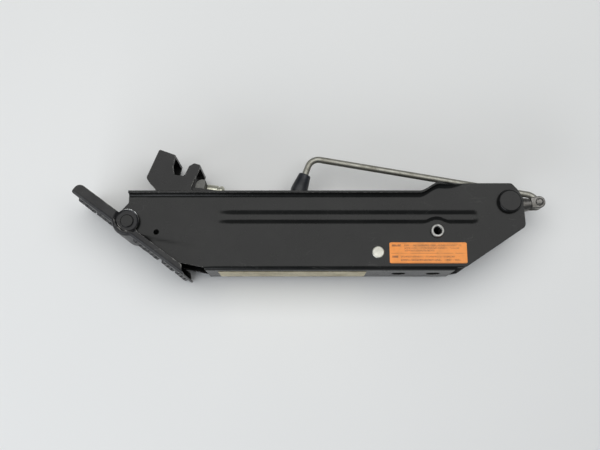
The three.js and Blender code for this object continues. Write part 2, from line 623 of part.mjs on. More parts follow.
function rodAlong(curve, steps) {
  const circle = new THREE.Shape().absarc(0, 0, CRANK_ROD / 2, 0, 2 * Math.PI, false);
  return solidOf(new THREE.ExtrudeGeometry(circle, {
    steps, curveSegments: 6, extrudePath: curve, bevelEnabled: false,
  }));
}

function at(x, y) {
  return new THREE.Vector3(x, y, 0);
}

const shortLeg = at(-Math.sin(SHORT_LEG_LEAN * DEGREE), -Math.cos(SHORT_LEG_LEAN * DEGREE));
const corner = at(-CRANK_REACH, CRANK_OFFSET);
function alongShortLeg(distance) {
  return corner.clone().addScaledVector(shortLeg, distance);
}
const gripEnd = GRIP_START + GRIP_LENGTH;
const capStart = gripEnd + FLOAT_GAP;

function crankRod() {
  const turned = (90 - SHORT_LEG_LEAN) * DEGREE;
  const setBack = CRANK_BEND * Math.tan(turned / 2);
  const bendCentre = at(corner.x + setBack, CRANK_OFFSET - CRANK_BEND);
  const bend = new THREE.CurvePath();
  const pieces = 6;
  for (let k = 0; k < pieces; k += 1) {
    const from = Math.PI / 2 + turned * k / pieces;
    const to = Math.PI / 2 + turned * (k + 1) / pieces;
    bend.add(new THREE.LineCurve3(
      bendCentre.clone().add(at(Math.cos(from), Math.sin(from)).multiplyScalar(CRANK_BEND)),
      bendCentre.clone().add(at(Math.cos(to), Math.sin(to)).multiplyScalar(CRANK_BEND))));
  }
  const hook = new THREE.QuadraticBezierCurve3(
    at(-CRANK_HOOK, CRANK_OFFSET), at(-4, CRANK_OFFSET), at(0, 0));
  return without(joined([
    rodAlong(new THREE.LineCurve3(alongShortLeg(capStart + CAP_THICKNESS + 0.8),
      alongShortLeg(setBack - 0.3)), 1),
    rodAlong(bend, 12),
    rodAlong(new THREE.LineCurve3(at(corner.x + setBack - 0.3, CRANK_OFFSET),
      at(0.3 - CRANK_HOOK, CRANK_OFFSET)), 1),
    rodAlong(hook, 8),
    disc(0, 0, CRANK_EYE, -CRANK_ROD / 2, CRANK_ROD / 2),
  ]), [disc(0, 0, CRANK_PIN + 2 * RUNNING_GAP, -20, 20)]);
}
onCrank.add(meshOf('crank_rod', crankRod(), steel));

// The grip's frame: +X runs down the short leg from the corner.
const onShortLeg = new THREE.Group();
onShortLeg.position.copy(corner);
onShortLeg.rotation.z = Math.atan2(shortLeg.y, shortLeg.x);
onCrank.add(onShortLeg);
onShortLeg.add(meshOf('crank_grip', bar(GRIP_START, GRIP_START + GRIP_NECK, GRIP_TOP, 0, 0,
  GRIP_BOTTOM - 1, 32).add(bar(GRIP_START + GRIP_NECK, gripEnd, GRIP_BOTTOM - 1, 0, 0,
  GRIP_BOTTOM, 32))
  .subtract(bar(GRIP_START - 1, gripEnd + 1, CRANK_ROD + 2 * RUNNING_GAP)), gripPlastic));

// Retaining washer near the peened end of the rod.
onShortLeg.add(meshOf('grip_retainer', bar(capStart, capStart + CAP_THICKNESS, CRANK_ROD + 5)
  .subtract(bar(capStart - 1, capStart + CAP_THICKNESS + 1, CRANK_ROD + 2 * RUNNING_GAP)),
steel));

// ---------------------------------------------------------------- stand it on the floor

jack.updateMatrixWorld(true);
const extent = new THREE.Box3().setFromObject(jack, true);
jack.position.set(-(extent.min.x + extent.max.x) / 2, -(extent.min.y + extent.max.y) / 2,
  -extent.min.z);
jack.updateMatrixWorld(true);

export default jack;
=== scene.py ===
import math

import bmesh
import bpy
import numpy as np
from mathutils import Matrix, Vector
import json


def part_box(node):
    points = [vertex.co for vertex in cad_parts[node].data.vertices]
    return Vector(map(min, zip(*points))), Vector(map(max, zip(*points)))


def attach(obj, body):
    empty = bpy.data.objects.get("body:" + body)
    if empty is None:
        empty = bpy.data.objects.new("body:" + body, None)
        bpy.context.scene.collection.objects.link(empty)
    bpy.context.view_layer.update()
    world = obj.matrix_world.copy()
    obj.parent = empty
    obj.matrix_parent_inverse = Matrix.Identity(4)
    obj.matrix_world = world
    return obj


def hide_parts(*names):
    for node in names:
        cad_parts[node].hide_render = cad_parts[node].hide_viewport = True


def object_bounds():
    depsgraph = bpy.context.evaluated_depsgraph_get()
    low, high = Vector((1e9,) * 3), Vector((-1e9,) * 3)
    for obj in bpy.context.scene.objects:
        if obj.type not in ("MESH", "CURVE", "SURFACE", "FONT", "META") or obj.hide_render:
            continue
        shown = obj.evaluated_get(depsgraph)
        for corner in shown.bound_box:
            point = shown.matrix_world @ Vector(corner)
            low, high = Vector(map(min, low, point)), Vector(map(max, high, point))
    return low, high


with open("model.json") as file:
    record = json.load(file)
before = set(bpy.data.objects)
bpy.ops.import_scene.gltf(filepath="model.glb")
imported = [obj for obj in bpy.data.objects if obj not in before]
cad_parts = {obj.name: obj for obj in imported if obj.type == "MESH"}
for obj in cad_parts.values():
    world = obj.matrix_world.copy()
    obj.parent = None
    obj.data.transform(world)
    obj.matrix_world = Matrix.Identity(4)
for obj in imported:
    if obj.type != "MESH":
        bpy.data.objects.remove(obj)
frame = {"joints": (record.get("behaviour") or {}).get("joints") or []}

cad_low, cad_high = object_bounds()
cad_middle = (cad_low + cad_high) / 2

# ---------------------------------------------------------------- floor, lights and camera
# A plain pale studio floor under one soft ceiling light, with a low cool light at the front
# left, and a camera almost straight above the side wall.

FLOOR_SIDE = 6.0
CAMERA_DISTANCE = 0.735
CAMERA_ELEVATION = math.radians(78)
CAMERA_AIM = cad_middle + Vector((-0.01319, -0.01543, 0.027))

stage = bpy.context.scene


def new_material(name):
    """A new node material, with its tree and its Principled shader."""
    material = bpy.data.materials.new(name)
    material.use_nodes = True
    tree = material.node_tree
    return material, tree, tree.nodes["Principled BSDF"]


def add_node(tree, kind, **settings):
    """One node of a tree, with its properties set by name."""
    made = tree.nodes.new(kind)
    for key, value in settings.items():
        setattr(made, key, value)
    return made


def floor_card():
    """A flat square card under the jack, a shade off white."""
    half = FLOOR_SIDE / 2
    mesh = bpy.data.meshes.new("studio_floor")
    mesh.from_pydata([(-half, -half, 0), (half, -half, 0), (half, half, 0), (-half, half, 0)],
                     [], [(0, 1, 2, 3)])
    card = bpy.data.objects.new("studio_floor", mesh)
    stage.collection.objects.link(card)
    material, tree, shader = new_material("floor_card")
    coordinates = add_node(tree, "ShaderNodeTexCoord")
    mottle = add_node(tree, "ShaderNodeTexNoise")
    mottle.inputs["Scale"].default_value = 3.0
    tint = add_node(tree, "ShaderNodeMix", data_type="RGBA")
    tint.inputs["A"].default_value = (0.765, 0.775, 0.77, 1)
    tint.inputs["B"].default_value = (0.805, 0.81, 0.80, 1)
    tree.links.new(coordinates.outputs["Object"], mottle.inputs["Vector"])
    tree.links.new(mottle.outputs["Fac"], tint.inputs["Factor"])
    tree.links.new(tint.outputs["Result"], shader.inputs["Base Color"])
    shader.inputs["Roughness"].default_value = 0.8
    shader.inputs["Specular IOR Level"].default_value = 0.2
    mesh.materials.append(material)
    card.location.z = cad_low.z


def soft_light(name, place, aim, size, watts, colour):
    """A rectangular area light at place, turned towards aim, both from the middle of the jack."""
    data = bpy.data.lights.new(name, "AREA")
    data.shape = "RECTANGLE"
    data.size, data.size_y = size
    data.energy = watts
    data.color = colour
    light = bpy.data.objects.new(name, data)
    light.location = cad_middle + Vector(place)
    light.rotation_euler = (Vector(aim) - Vector(place)).to_track_quat("-Z", "Y").to_euler()
    stage.collection.objects.link(light)


floor_card()
soft_light("ceiling_light", (0, 0.35, 1.5), (0, 0.35, 0), (2.6, 1.5), 26, (1.0, 0.995, 0.98))
soft_light("front_left_fill", (-1.15, -1.3, 0.6), (0, 0, 0), (2.0, 0.8), 21, (0.92, 0.95, 1.0))

world = bpy.data.worlds.new("studio_air")
world.use_nodes = True
world.node_tree.nodes["Background"].inputs["Color"].default_value = (0.84, 0.90, 1.0, 1)
world.node_tree.nodes["Background"].inputs["Strength"].default_value = 0.14
stage.world = world
stage.view_settings.view_transform = "Standard"

camera_data = bpy.data.cameras.new("camera")
camera_data.lens = 42
camera_data.sensor_width = 36
camera_data.clip_start = 0.01
camera = bpy.data.objects.new("camera", camera_data)
towards_camera = Vector((0, -math.cos(CAMERA_ELEVATION), math.sin(CAMERA_ELEVATION)))
camera.location = CAMERA_AIM + CAMERA_DISTANCE * towards_camera
camera.rotation_euler = (-towards_camera).to_track_quat("-Z", "Y").to_euler()
stage.collection.objects.link(camera)
stage.camera = camera

# ---------------------------------------------------------------- stand channel
# The leg: one strip of 2.5 mm steel pressed to a U with a long bead in each wall and lips
# turned out along the open side, blanked to outline, then stove-enamelled satin black.

MM = 0.001
joint_at = {joint["name"]: np.array(joint["pos_m"]) for joint in frame["joints"]}
SHEET = 2.5
EDGE_ROUND = 0.45               # blanked edges, softened by the paint
STAND_INNER = 24.5              # half of the clear width
STAND_OUTER = STAND_INNER + SHEET
LIP_OUT = 6.5
LIP_BEND = 6.0                  # middle radius of the lip's fold
LIP_TOP = 42.3                  # above the arm hinge
HEAD_TOP = 52.0
WEB_FACE = -41.3
WEB_ENDS = (-241.0, 17.0)
JOG = (-18.0, 4.0)              # where the lip climbs to the head
LIP_FADE = (2.0, 36.0)          # where the lip turns up into the plain wall
BEAD_ENDS = (-240.0, 47.0)
BEAD_MIDDLE = 15.3
BEAD_HALF = 8.8
BEAD_FLOOR = 1.9                # half width of its flat bottom
BEAD_DEPTH = 2.0
BEAD_RUN_OUT = 24.0             # over which its left end fades in
JOGGLE_DEPTH = 1.3              # the wall is set in beside the foot, below a sloping line
JOGGLE_ENDS = (-290.0, -222.0)
JOGGLE_LINE = (25.7, -4.3, -0.168)      # a point of that line, x from the foot, and its slope
HINGE_FLAT = (11.0, 16.5)       # the bead stops round the hinge tube, over these radii
FOOT_AT = (joint_at["foot_tilt"] - joint_at["arm_lift"])[:2] / MM
FOOT_SLOPE = -36.3
FOOT_EAR = 12.2
TRUNNION_AT = (joint_at["spindle_swing"] - joint_at["arm_lift"])[:2] / MM
STOP_RIVET_AT = (-62.5, -22.6)
GAUGE_HOLE_AT = (-294.6, -1.1)
WEB_HOLES_AT = (-38.4, -1.4)
WEB_HOLE = 15.0
HINGE_HOLE = 13.2
STOP_RIVET_HOLE = 8.6
FOOT_RIVET_HOLE = 9.6
TRUNNION_HOLE = 20.6
GAUGE_HOLE = 5.5
STAND_RIGHT = (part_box("stand_channel")[1].x - joint_at["arm_lift"][0]) / MM


def turned(points, degrees):
    """Points turned about Z: x' = x cos - y sin, y' = x sin + y cos."""
    points = np.array(points, float)
    c, s = math.cos(math.radians(degrees)), math.sin(math.radians(degrees))
    x, y = points[..., 0].copy(), points[..., 1].copy()
    points[..., 0], points[..., 1] = c * x - s * y, s * x + c * y
    return points


def ease(value, start, end):
    """0 before start, 1 after end, and the smooth cubic 3t^2 - 2t^3 between them."""
    t = np.clip((np.asarray(value, float) - start) / (end - start), 0, 1)
    return t * t * (3 - 2 * t)


def round_corners(corners, step=12):
    """A closed outline from corners (x, y, radius): each corner is an arc tangent to its sides."""
    points = []
    for i, (x, y, *radius) in enumerate(corners):
        corner = np.array([x, y], float)
        if not radius:
            points.append(corner[None])
            continue
        inward = np.array(corners[i - 1][:2], float) - corner
        outward = np.array(corners[(i + 1) % len(corners)][:2], float) - corner
        inward, outward = inward / np.linalg.norm(inward), outward / np.linalg.norm(outward)
        half = math.acos(np.clip(inward @ outward, -1, 1)) / 2
        middle = (inward + outward) / np.linalg.norm(inward + outward)
        centre = corner + middle * radius[0] / math.sin(half)
        start = corner + inward * radius[0] / math.tan(half) - centre
        end = corner + outward * radius[0] / math.tan(half) - centre
        turn = math.atan2(start[0] * end[1] - start[1] * end[0], start @ end)
        count = max(2, math.ceil(abs(math.degrees(turn)) / step))
        angle = np.linspace(0, math.degrees(turn), count + 1)
        points.append(np.array([turned(start, a) for a in angle]) + centre)
    return np.concatenate(points)


def evenly(points, spacing):
    """The same closed outline with extra points, so that no side is longer than spacing."""
    after = np.roll(points, -1, axis=0)
    counts = np.maximum(1, np.ceil(np.linalg.norm(after - points, axis=1) / spacing)).astype(int)
    return np.concatenate([a + (b - a) * np.linspace(0, 1, n, endpoint=False)[:, None]
                           for a, b, n in zip(points, after, counts)])


def grid_faces(rows, columns, close_rows=False, close_columns=False):
    """Quads of a rows x columns grid of points; a closed direction joins its end to its start."""
    r = np.arange(rows if close_rows else rows - 1)[:, None]
    c = np.arange(columns if close_columns else columns - 1)[None]
    r2, c2 = (r + 1) % rows, (c + 1) % columns
    quads = np.stack([r * columns + c, r2 * columns + c, r2 * columns + c2, r * columns + c2], -1)
    return quads.reshape(-1, 4)


def surface(name, points, faces, caps=()):
    """A mesh object from points in metres and quads; caps are loops of points filled flat.
    Doubled points are merged and the normals are turned outwards."""
    mesh = bpy.data.meshes.new(name)
    mesh.from_pydata(np.asarray(points, float).reshape(-1, 3).tolist(), [],
                     [list(map(int, f)) for f in faces] + [list(map(int, c)) for c in caps])
    shell = bmesh.new()
    shell.from_mesh(mesh)
    bmesh.ops.remove_doubles(shell, verts=shell.verts, dist=2e-7)
    bmesh.ops.dissolve_degenerate(shell, edges=shell.edges, dist=1e-8)
    bmesh.ops.recalc_face_normals(shell, faces=shell.faces)
    shell.to_mesh(mesh)
    shell.free()
    made = bpy.data.objects.new(name, mesh)
    stage.collection.objects.link(made)
    return made


def both_ends(corners):
    """A turned profile from its upper half: corners (height, radius, rounding), then the same
    mirrored below the middle plane."""
    return corners + [(-h, *rest) for h, *rest in reversed(corners)]


def both_halves(heights, levels):
    """A folded section's middle line (z, y) from its upper half, with the lower half before it."""
    line = np.stack([heights, levels], -1)
    return np.concatenate([(line * [-1, 1])[:, :0:-1], line], axis=1)


def on_body(points, origin, slope=0.0):
    """Points in mm on a body's own axes, brought to metres in the frame: turned, then moved."""
    return turned(points, slope) * MM + origin


def folded_sheet(name, middle_lines, along, origin, slope=0.0):
    """A folded strip. middle_lines[i, j] is point j (z, y) of the sheet's middle line at along[i].
    Its faces lie half a sheet to each side along the line's normal, and its two free edges are
    closed by quarter rounds. The strip's ends are flat and lie outside the blanked outline."""
    tangent = np.gradient(middle_lines, axis=1)
    tangent /= np.linalg.norm(tangent, axis=2, keepdims=True)
    normal = np.stack([tangent[..., 1], -tangent[..., 0]], -1)
    quarter = np.radians(np.linspace(90, 0, 5))
    inset = EDGE_ROUND * (1 - np.cos(quarter))
    lift = SHEET / 2 - EDGE_ROUND * (1 - np.sin(quarter))

    def edge(at, direction):
        """Rounded end of the sheet, from its outer face to its inner face."""
        line, n, t = middle_lines[:, at], normal[:, at], direction * tangent[:, at]
        first = [line + n * h - t * (EDGE_ROUND - i) for h, i in zip(lift, EDGE_ROUND - inset)]
        last = [line - n * h - t * (EDGE_ROUND - i) for h, i in zip(lift[::-1],
                                                                 (EDGE_ROUND - inset)[::-1])]
        return np.stack(first + last, 1)

    outer = middle_lines[:, 1:-1] + normal[:, 1:-1] * SHEET / 2
    inner = middle_lines[:, 1:-1] - normal[:, 1:-1] * SHEET / 2
    loop = np.concatenate([edge(0, -1)[:, ::-1], outer, edge(-1, 1), inner[:, ::-1]], axis=1)
    rows, columns = loop.shape[:2]
    points = np.empty((rows, columns, 3))
    points[..., 0] = np.asarray(along, float)[:, None]
    points[..., 1] = loop[..., 1]
    points[..., 2] = loop[..., 0]
    first = np.arange(columns)
    return surface(name, on_body(points, origin, slope),
                   grid_faces(rows, columns, close_columns=True),
                   caps=[first[::-1], first + (rows - 1) * columns])


def outline_loft(name, outline, spacing, levels, origin, slope):
    """A solid inside a closed outline: at each level (height, draw) the outline, with extra
    points no further apart than spacing, is drawn in by draw along its own normal."""
    points = evenly(outline, spacing)
    before, after = np.roll(points, 1, axis=0), np.roll(points, -1, axis=0)
    side = after - before
    inward = np.stack([-side[:, 1], side[:, 0]], 1) / np.linalg.norm(side, axis=1, keepdims=True)
    inward *= np.sign((points[:, 0] * after[:, 1] - after[:, 0] * points[:, 1]).sum())
    height, draw = np.array(levels, float).T
    solid = np.empty((len(levels), len(points), 3))
    solid[..., :2] = points + inward * draw[:, None, None]
    solid[..., 2] = height[:, None]
    ring = np.arange(len(points))
    return surface(name, on_body(solid, origin, slope),
                   grid_faces(len(levels), len(points), close_columns=True),
                   caps=[ring, ring + (len(levels) - 1) * len(points)])


def quarter_round(radius, count=5):
    """Pairs (depth, draw) of a rounded edge, from the face inwards."""
    quarter = np.radians(np.linspace(0, 90, count))
    return [(radius * (1 - math.cos(q)), radius * (1 - math.sin(q))) for q in quarter]


def blanking_die(outline, faces, reach, origin, slope=0.0):
    """The solid inside a blanked outline. Its outline draws in by a quarter round at each sheet
    face, so that the cut edges come out softened. faces are the heights z of the sheet's faces
    as (outer, inner) on the upper side; the lower side is their mirror image."""
    down = quarter_round(EDGE_ROUND)
    levels = [(reach, EDGE_ROUND)]
    for outer, inner in faces:
        levels += [(outer + 0.02, EDGE_ROUND)] + [(outer - depth, draw) for depth, draw in down]
        levels += [(inner + depth, draw) for depth, draw in reversed(down)]
        levels += [(inner - 0.02, EDGE_ROUND)]
    return outline_loft("die", outline, 6, both_ends(levels), origin, slope)


def lathe(profile, centre, axis, segments=64, closed=False, name="tool"):
    """A turned piece: profile points (height, radius) in mm, carried round an axis (unit vector)
    through centre (metres). An open profile starts and ends on the axis."""
    axis = np.array(axis, float) / np.linalg.norm(axis)
    side = np.cross(axis, [0.0, 0.0, 1.0])
    if np.linalg.norm(side) < 1e-6:
        side = np.array([1.0, 0.0, 0.0])
    side /= np.linalg.norm(side)
    other = np.cross(axis, side)
    height, radius = np.asarray(profile, float).T
    angle = np.linspace(0, 2 * np.pi, segments, endpoint=False)
    spoke = np.cos(angle)[:, None] * side + np.sin(angle)[:, None] * other
    points = (height[:, None, None] * axis + radius[:, None, None] * spoke[None]) * MM + centre
    return surface(name, points, grid_faces(len(height), segments, close_rows=closed,
                                            close_columns=True))


def hole_drill(diameter, faces, reach, centre, axis=(0, 0, 1)):
    """A drill for a through hole, widened by a quarter round at each sheet face (mirrored)."""
    radius = diameter / 2
    down = quarter_round(EDGE_ROUND, 4)
    side = [(reach, 0), (reach, radius + EDGE_ROUND)]
    for outer, inner in faces:
        side += [(outer - depth, radius + draw) for depth, draw in down]
        side += [(inner + depth, radius + draw) for depth, draw in reversed(down)]
    return lathe(both_ends(side), centre, axis, 48)


def cut(piece, tool, kind):
    """One exact boolean of two closed solids; the tool is used up."""
    step = piece.modifiers.new("cut", "BOOLEAN")
    step.solver = "MANIFOLD"
    step.operation = kind
    step.object = tool
    graph = bpy.context.evaluated_depsgraph_get()
    mesh = bpy.data.meshes.new_from_object(piece.evaluated_get(graph))
    piece.modifiers.remove(step)
    old = piece.data
    piece.data = mesh
    mesh.name = old.name
    bpy.data.meshes.remove(old)
    bpy.data.objects.remove(tool)


def drilled(piece, *hole, **named):
    """Cuts one through hole; takes what hole_drill takes."""
    cut(piece, hole_drill(*hole, **named), "DIFFERENCE")


def smooth(piece, angle=32):
    """Smooth shading, with creases kept where faces meet at more than angle degrees. Corner
    normals are weighted by area, so that flats stay flat beside their rounded edges."""
    shell = bmesh.new()
    shell.from_mesh(piece.data)
    limit = math.radians(angle)
    for face in shell.faces:
        face.smooth = True
    for edge in shell.edges:
        edge.smooth = len(edge.link_faces) == 2 and edge.calc_face_angle(0) < limit
    shell.to_mesh(piece.data)
    shell.free()
    weighted = piece.modifiers.new("weighted", "WEIGHTED_NORMAL")
    weighted.keep_sharp = True
    weighted.weight = 80


def fit(piece, body, slot, material, *nodes):
    """Paints a piece, fixes it to its body and hides the CAD nodes it details. Its slot is not used."""
    piece.data.materials.clear()
    piece.data.materials.append(material)
    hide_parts(*nodes)
    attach(piece, body)


def stand_middle_lines(along):
    """Middle line (z, y) of the channel at each place along it, from the lower lip round the web
    to the upper lip. The lip is an arc of fold x 90 degrees and a short flat; fold falls from 1
    to almost 0 where the lip turns up. The bead is a dish of depth d(x, y) pressed into each wall."""
    half = SHEET / 2
    bend = half + SHEET
    x = np.asarray(along, float)[:, None]
    rise = ease(x, *JOG)
    fold = 0.03 + 0.97 * (1 - ease(x, *LIP_FADE))
    past_fade = ease(x, LIP_FADE[1], LIP_FADE[1] + 6)
    turn = fold * np.pi / 2
    flat = LIP_OUT + half - LIP_BEND
    top = LIP_TOP + (HEAD_TOP - LIP_TOP) * rise + past_fade - half * np.sin(turn)
    start = top - LIP_BEND * np.sin(turn) - flat * np.cos(turn)
    web_centre = WEB_FACE + half
    # web half, corner, wall, lip arc, lip flat
    across = np.linspace(0, STAND_OUTER - half - bend, 9)
    corner = np.radians(np.linspace(-90, 0, 10))[1:]
    wall = np.concatenate([np.linspace(0, 0.44, 14), np.linspace(0.45, 0.86, 40),
                           np.linspace(0.88, 1, 6)])[1:]
    arc = np.linspace(0, 1, 10)[1:]
    ones = np.ones_like(x)
    bottom = web_centre + bend
    z = [across * ones, (STAND_OUTER - half - bend + bend * np.cos(corner)) * ones]
    y = [web_centre * ones * np.ones_like(across), (bottom + bend * np.sin(corner)) * ones]
    z.append((STAND_OUTER - half) * ones * np.ones_like(wall))
    y.append(bottom + (start - bottom) * wall)
    z.append(STAND_OUTER - half + LIP_BEND * (1 - np.cos(turn * arc)))
    y.append(start + LIP_BEND * np.sin(turn * arc))
    run = np.linspace(0, 1, 6)[1:]
    z.append(z[-1][:, -1:] + flat * np.sin(turn) * run)
    y.append(y[-1][:, -1:] + flat * np.cos(turn) * run)
    z, y = np.concatenate(z, 1), np.concatenate(y, 1)
    # bead: distance from its middle line segment, pinched flat round the hinge tube
    inside = np.clip(x, BEAD_ENDS[0] + BEAD_HALF, BEAD_ENDS[1] - BEAD_HALF)
    away = np.hypot(x - inside, y - BEAD_MIDDLE)
    dish = 1 - ease(away, BEAD_FLOOR, BEAD_HALF)
    dish = dish * ease(np.hypot(x, y), *HINGE_FLAT) * ease(x, BEAD_ENDS[0],
                                                          BEAD_ENDS[0] + BEAD_RUN_OUT)
    line_x, line_y, line_slope = JOGGLE_LINE
    below = line_y + (x - FOOT_AT[0] - line_x) * line_slope
    joggle = JOGGLE_DEPTH * (1 - ease(x, *JOGGLE_ENDS)) * (1 - ease(y, below - 7, below))
    on_wall = ease(z, STAND_OUTER - half - 0.6, STAND_OUTER - half - 0.1)
    z = z - on_wall * (BEAD_DEPTH * dish + joggle)
    return both_halves(z, y)


def stand_outline():
    """The blank's outline in side view: ear, sloping edge over the foot's sole, web, tail, head.
    Along the lip it stays clear above the sheet, whose own edge shows there."""
    sole = 2 - 10.5 + SHEET
    over_sole = [FOOT_AT + turned((u, v), FOOT_SLOPE) for u, v in ((-6, 3), (0, sole), (62, sole))]
    clear = HEAD_TOP + 8
    corners = [
        (FOOT_AT[0], clear), (FOOT_AT[0], LIP_TOP - 12, 3),
        (FOOT_AT[0] - FOOT_EAR + 2.5, FOOT_AT[1] + 9.5, 3),
        tuple(over_sole[0]), (*over_sole[1], 2), (*over_sole[2], 4),
        (WEB_ENDS[0] - 3, WEB_FACE + 3, 2), (WEB_ENDS[0], WEB_FACE - 5),
        (WEB_ENDS[1] - 2, WEB_FACE - 5), (WEB_ENDS[1] + 2, WEB_FACE + 2.2, 2),
        (29.4, WEB_FACE + 3.7, 5), (STAND_RIGHT - 1, 5, 6), (STAND_RIGHT - 2, 36, 6),
        (STAND_RIGHT - 7.5, 45.5, 8), (81, HEAD_TOP + 0.01, 4),
        (LIP_FADE[1] + 0.5, HEAD_TOP + 0.01), (LIP_FADE[1] + 0.5, clear),
    ]
    return round_corners(corners)


def round_outline(centre, radius, count=48):
    """A circle as an outline."""
    angle = np.linspace(0, 2 * np.pi, count, endpoint=False)
    return np.array(centre) + radius * np.stack([np.cos(angle), np.sin(angle)], 1)


def world_point(x, y):
    """A point of the middle plane in mm from the arm hinge, in metres in the frame."""
    return joint_at["arm_lift"] + np.array([x, y, 0.0]) * MM


def stand_channel():
    """The swept strip, cut to outline, then drilled."""
    origin = joint_at["arm_lift"]
    left = FOOT_AT[0] - FOOT_EAR - 4
    along = np.unique(np.concatenate([
        np.linspace(left, BEAD_ENDS[0] - 2, 38),
        np.linspace(BEAD_ENDS[0] - 2, BEAD_ENDS[0] + 12, 12),
        np.linspace(BEAD_ENDS[0] + 12, JOG[0] - 4, 50),
        np.linspace(JOG[0] - 4, BEAD_ENDS[1] + 2, 56),
        np.linspace(BEAD_ENDS[1] + 2, STAND_RIGHT + 4, 16)]))
    strip = folded_sheet("stand_shell", stand_middle_lines(along), along, origin)
    faces = [(STAND_OUTER, STAND_INNER)]
    reach = STAND_OUTER + LIP_OUT + 8
    die = blanking_die(stand_outline(), faces, reach, origin)
    cut(die, blanking_die(round_outline(FOOT_AT, FOOT_EAR), faces, reach, origin), "UNION")
    cut(strip, die, "INTERSECT")
    holes = [((0, 0), HINGE_HOLE), (STOP_RIVET_AT, STOP_RIVET_HOLE), (FOOT_AT, FOOT_RIVET_HOLE),
             (TRUNNION_AT, TRUNNION_HOLE), (GAUGE_HOLE_AT, GAUGE_HOLE)]
    for place, diameter in holes:
        drilled(strip, diameter, faces, reach, world_point(*place))
    for x in WEB_HOLES_AT:
        web_faces = [(-WEB_FACE, -WEB_FACE - SHEET)]
        drilled(strip, WEB_HOLE, web_faces, 70, world_point(x, 0), axis=(0, 1, 0))
    smooth(strip)
    return strip


def value_group(name, inputs, output):
    """A shader node group with number inputs {name: default} and one number output."""
    tree = bpy.data.node_groups.new(name, "ShaderNodeTree")
    for key, default in inputs.items():
        socket = tree.interface.new_socket(key, in_out="INPUT", socket_type="NodeSocketFloat")
        socket.default_value = default
    tree.interface.new_socket(output, in_out="OUTPUT", socket_type="NodeSocketFloat")
    return tree, add_node(tree, "NodeGroupInput"), add_node(tree, "NodeGroupOutput")


def wire(tree, *pairs):
    """Links a list of (output socket, input socket)."""
    for source, target in pairs:
        tree.links.new(source, target)


def calculate(tree, operation, a, b=None, clamp=False):
    """A Math node; a and b are sockets or numbers. Returns its result socket."""
    node = add_node(tree, "ShaderNodeMath", operation=operation, use_clamp=clamp)
    for place, item in enumerate((a, b)):
        if item is None:
            continue
        if isinstance(item, (int, float)):
            node.inputs[place].default_value = item
        else:
            tree.links.new(item, node.inputs[place])
    return node.outputs[0]


def ramp(tree, value, low, high):
    """value eased from 0 at low to 1 at high. Returns the result socket."""
    node = add_node(tree, "ShaderNodeMapRange", interpolation_type="SMOOTHSTEP")
    tree.links.new(value, node.inputs["Value"])
    for key, item in (("From Min", low), ("From Max", high)):
        if isinstance(item, (int, float)):
            node.inputs[key].default_value = item
        else:
            tree.links.new(item, node.inputs[key])
    return node.outputs["Result"]


def noise(tree, vector, scale, detail=3.0, roughness=0.55):
    """A noise texture's value; scale is a number or a socket, in turns per metre."""
    node = add_node(tree, "ShaderNodeTexNoise")
    node.inputs["Detail"].default_value = detail
    node.inputs["Roughness"].default_value = roughness
    tree.links.new(vector, node.inputs["Vector"])
    if isinstance(scale, (int, float)):
        node.inputs["Scale"].default_value = scale
    else:
        tree.links.new(scale, node.inputs["Scale"])
    return node.outputs["Fac"]


def own_place(tree):
    """The piece's own coordinates, in metres."""
    return add_node(tree, "ShaderNodeTexCoord").outputs["Object"]


def stretched(tree, vector, scale, turn=(0.0, 0.0, 0.0)):
    """Object coordinates turned and scaled unevenly, for grain and scratches."""
    node = add_node(tree, "ShaderNodeMapping")
    node.inputs["Scale"].default_value = scale
    node.inputs["Rotation"].default_value = turn
    tree.links.new(vector, node.inputs["Vector"])
    return node.outputs["Vector"]


def edge_wear_group():
    """Mask: how far a softened normal leaves the true one, so 1 along edges, broken by noise."""
    tree, given, result = value_group("edge_wear", {"Radius": 0.0008, "Break Scale": 260.0,
                                                    "Reach": 0.25}, "Mask")
    soft = add_node(tree, "ShaderNodeBevel", samples=6)
    true = add_node(tree, "ShaderNodeNewGeometry")
    dot = add_node(tree, "ShaderNodeVectorMath", operation="DOT_PRODUCT")
    place = own_place(tree)
    wire(tree, (given.outputs["Radius"], soft.inputs["Radius"]),
         (soft.outputs["Normal"], dot.inputs[0]), (true.outputs["Normal"], dot.inputs[1]))
    edge = calculate(tree, "SUBTRACT", 1.0, dot.outputs["Value"], clamp=True)
    grain = noise(tree, place, given.outputs["Break Scale"], 5.0, 0.65)
    broken = calculate(tree, "MULTIPLY", ramp(tree, edge, 0.01, 0.12), ramp(tree, grain, 0.42, 0.6))
    tree.links.new(calculate(tree, "MULTIPLY", broken, given.outputs["Reach"], clamp=True),
                   result.inputs["Mask"])
    return tree


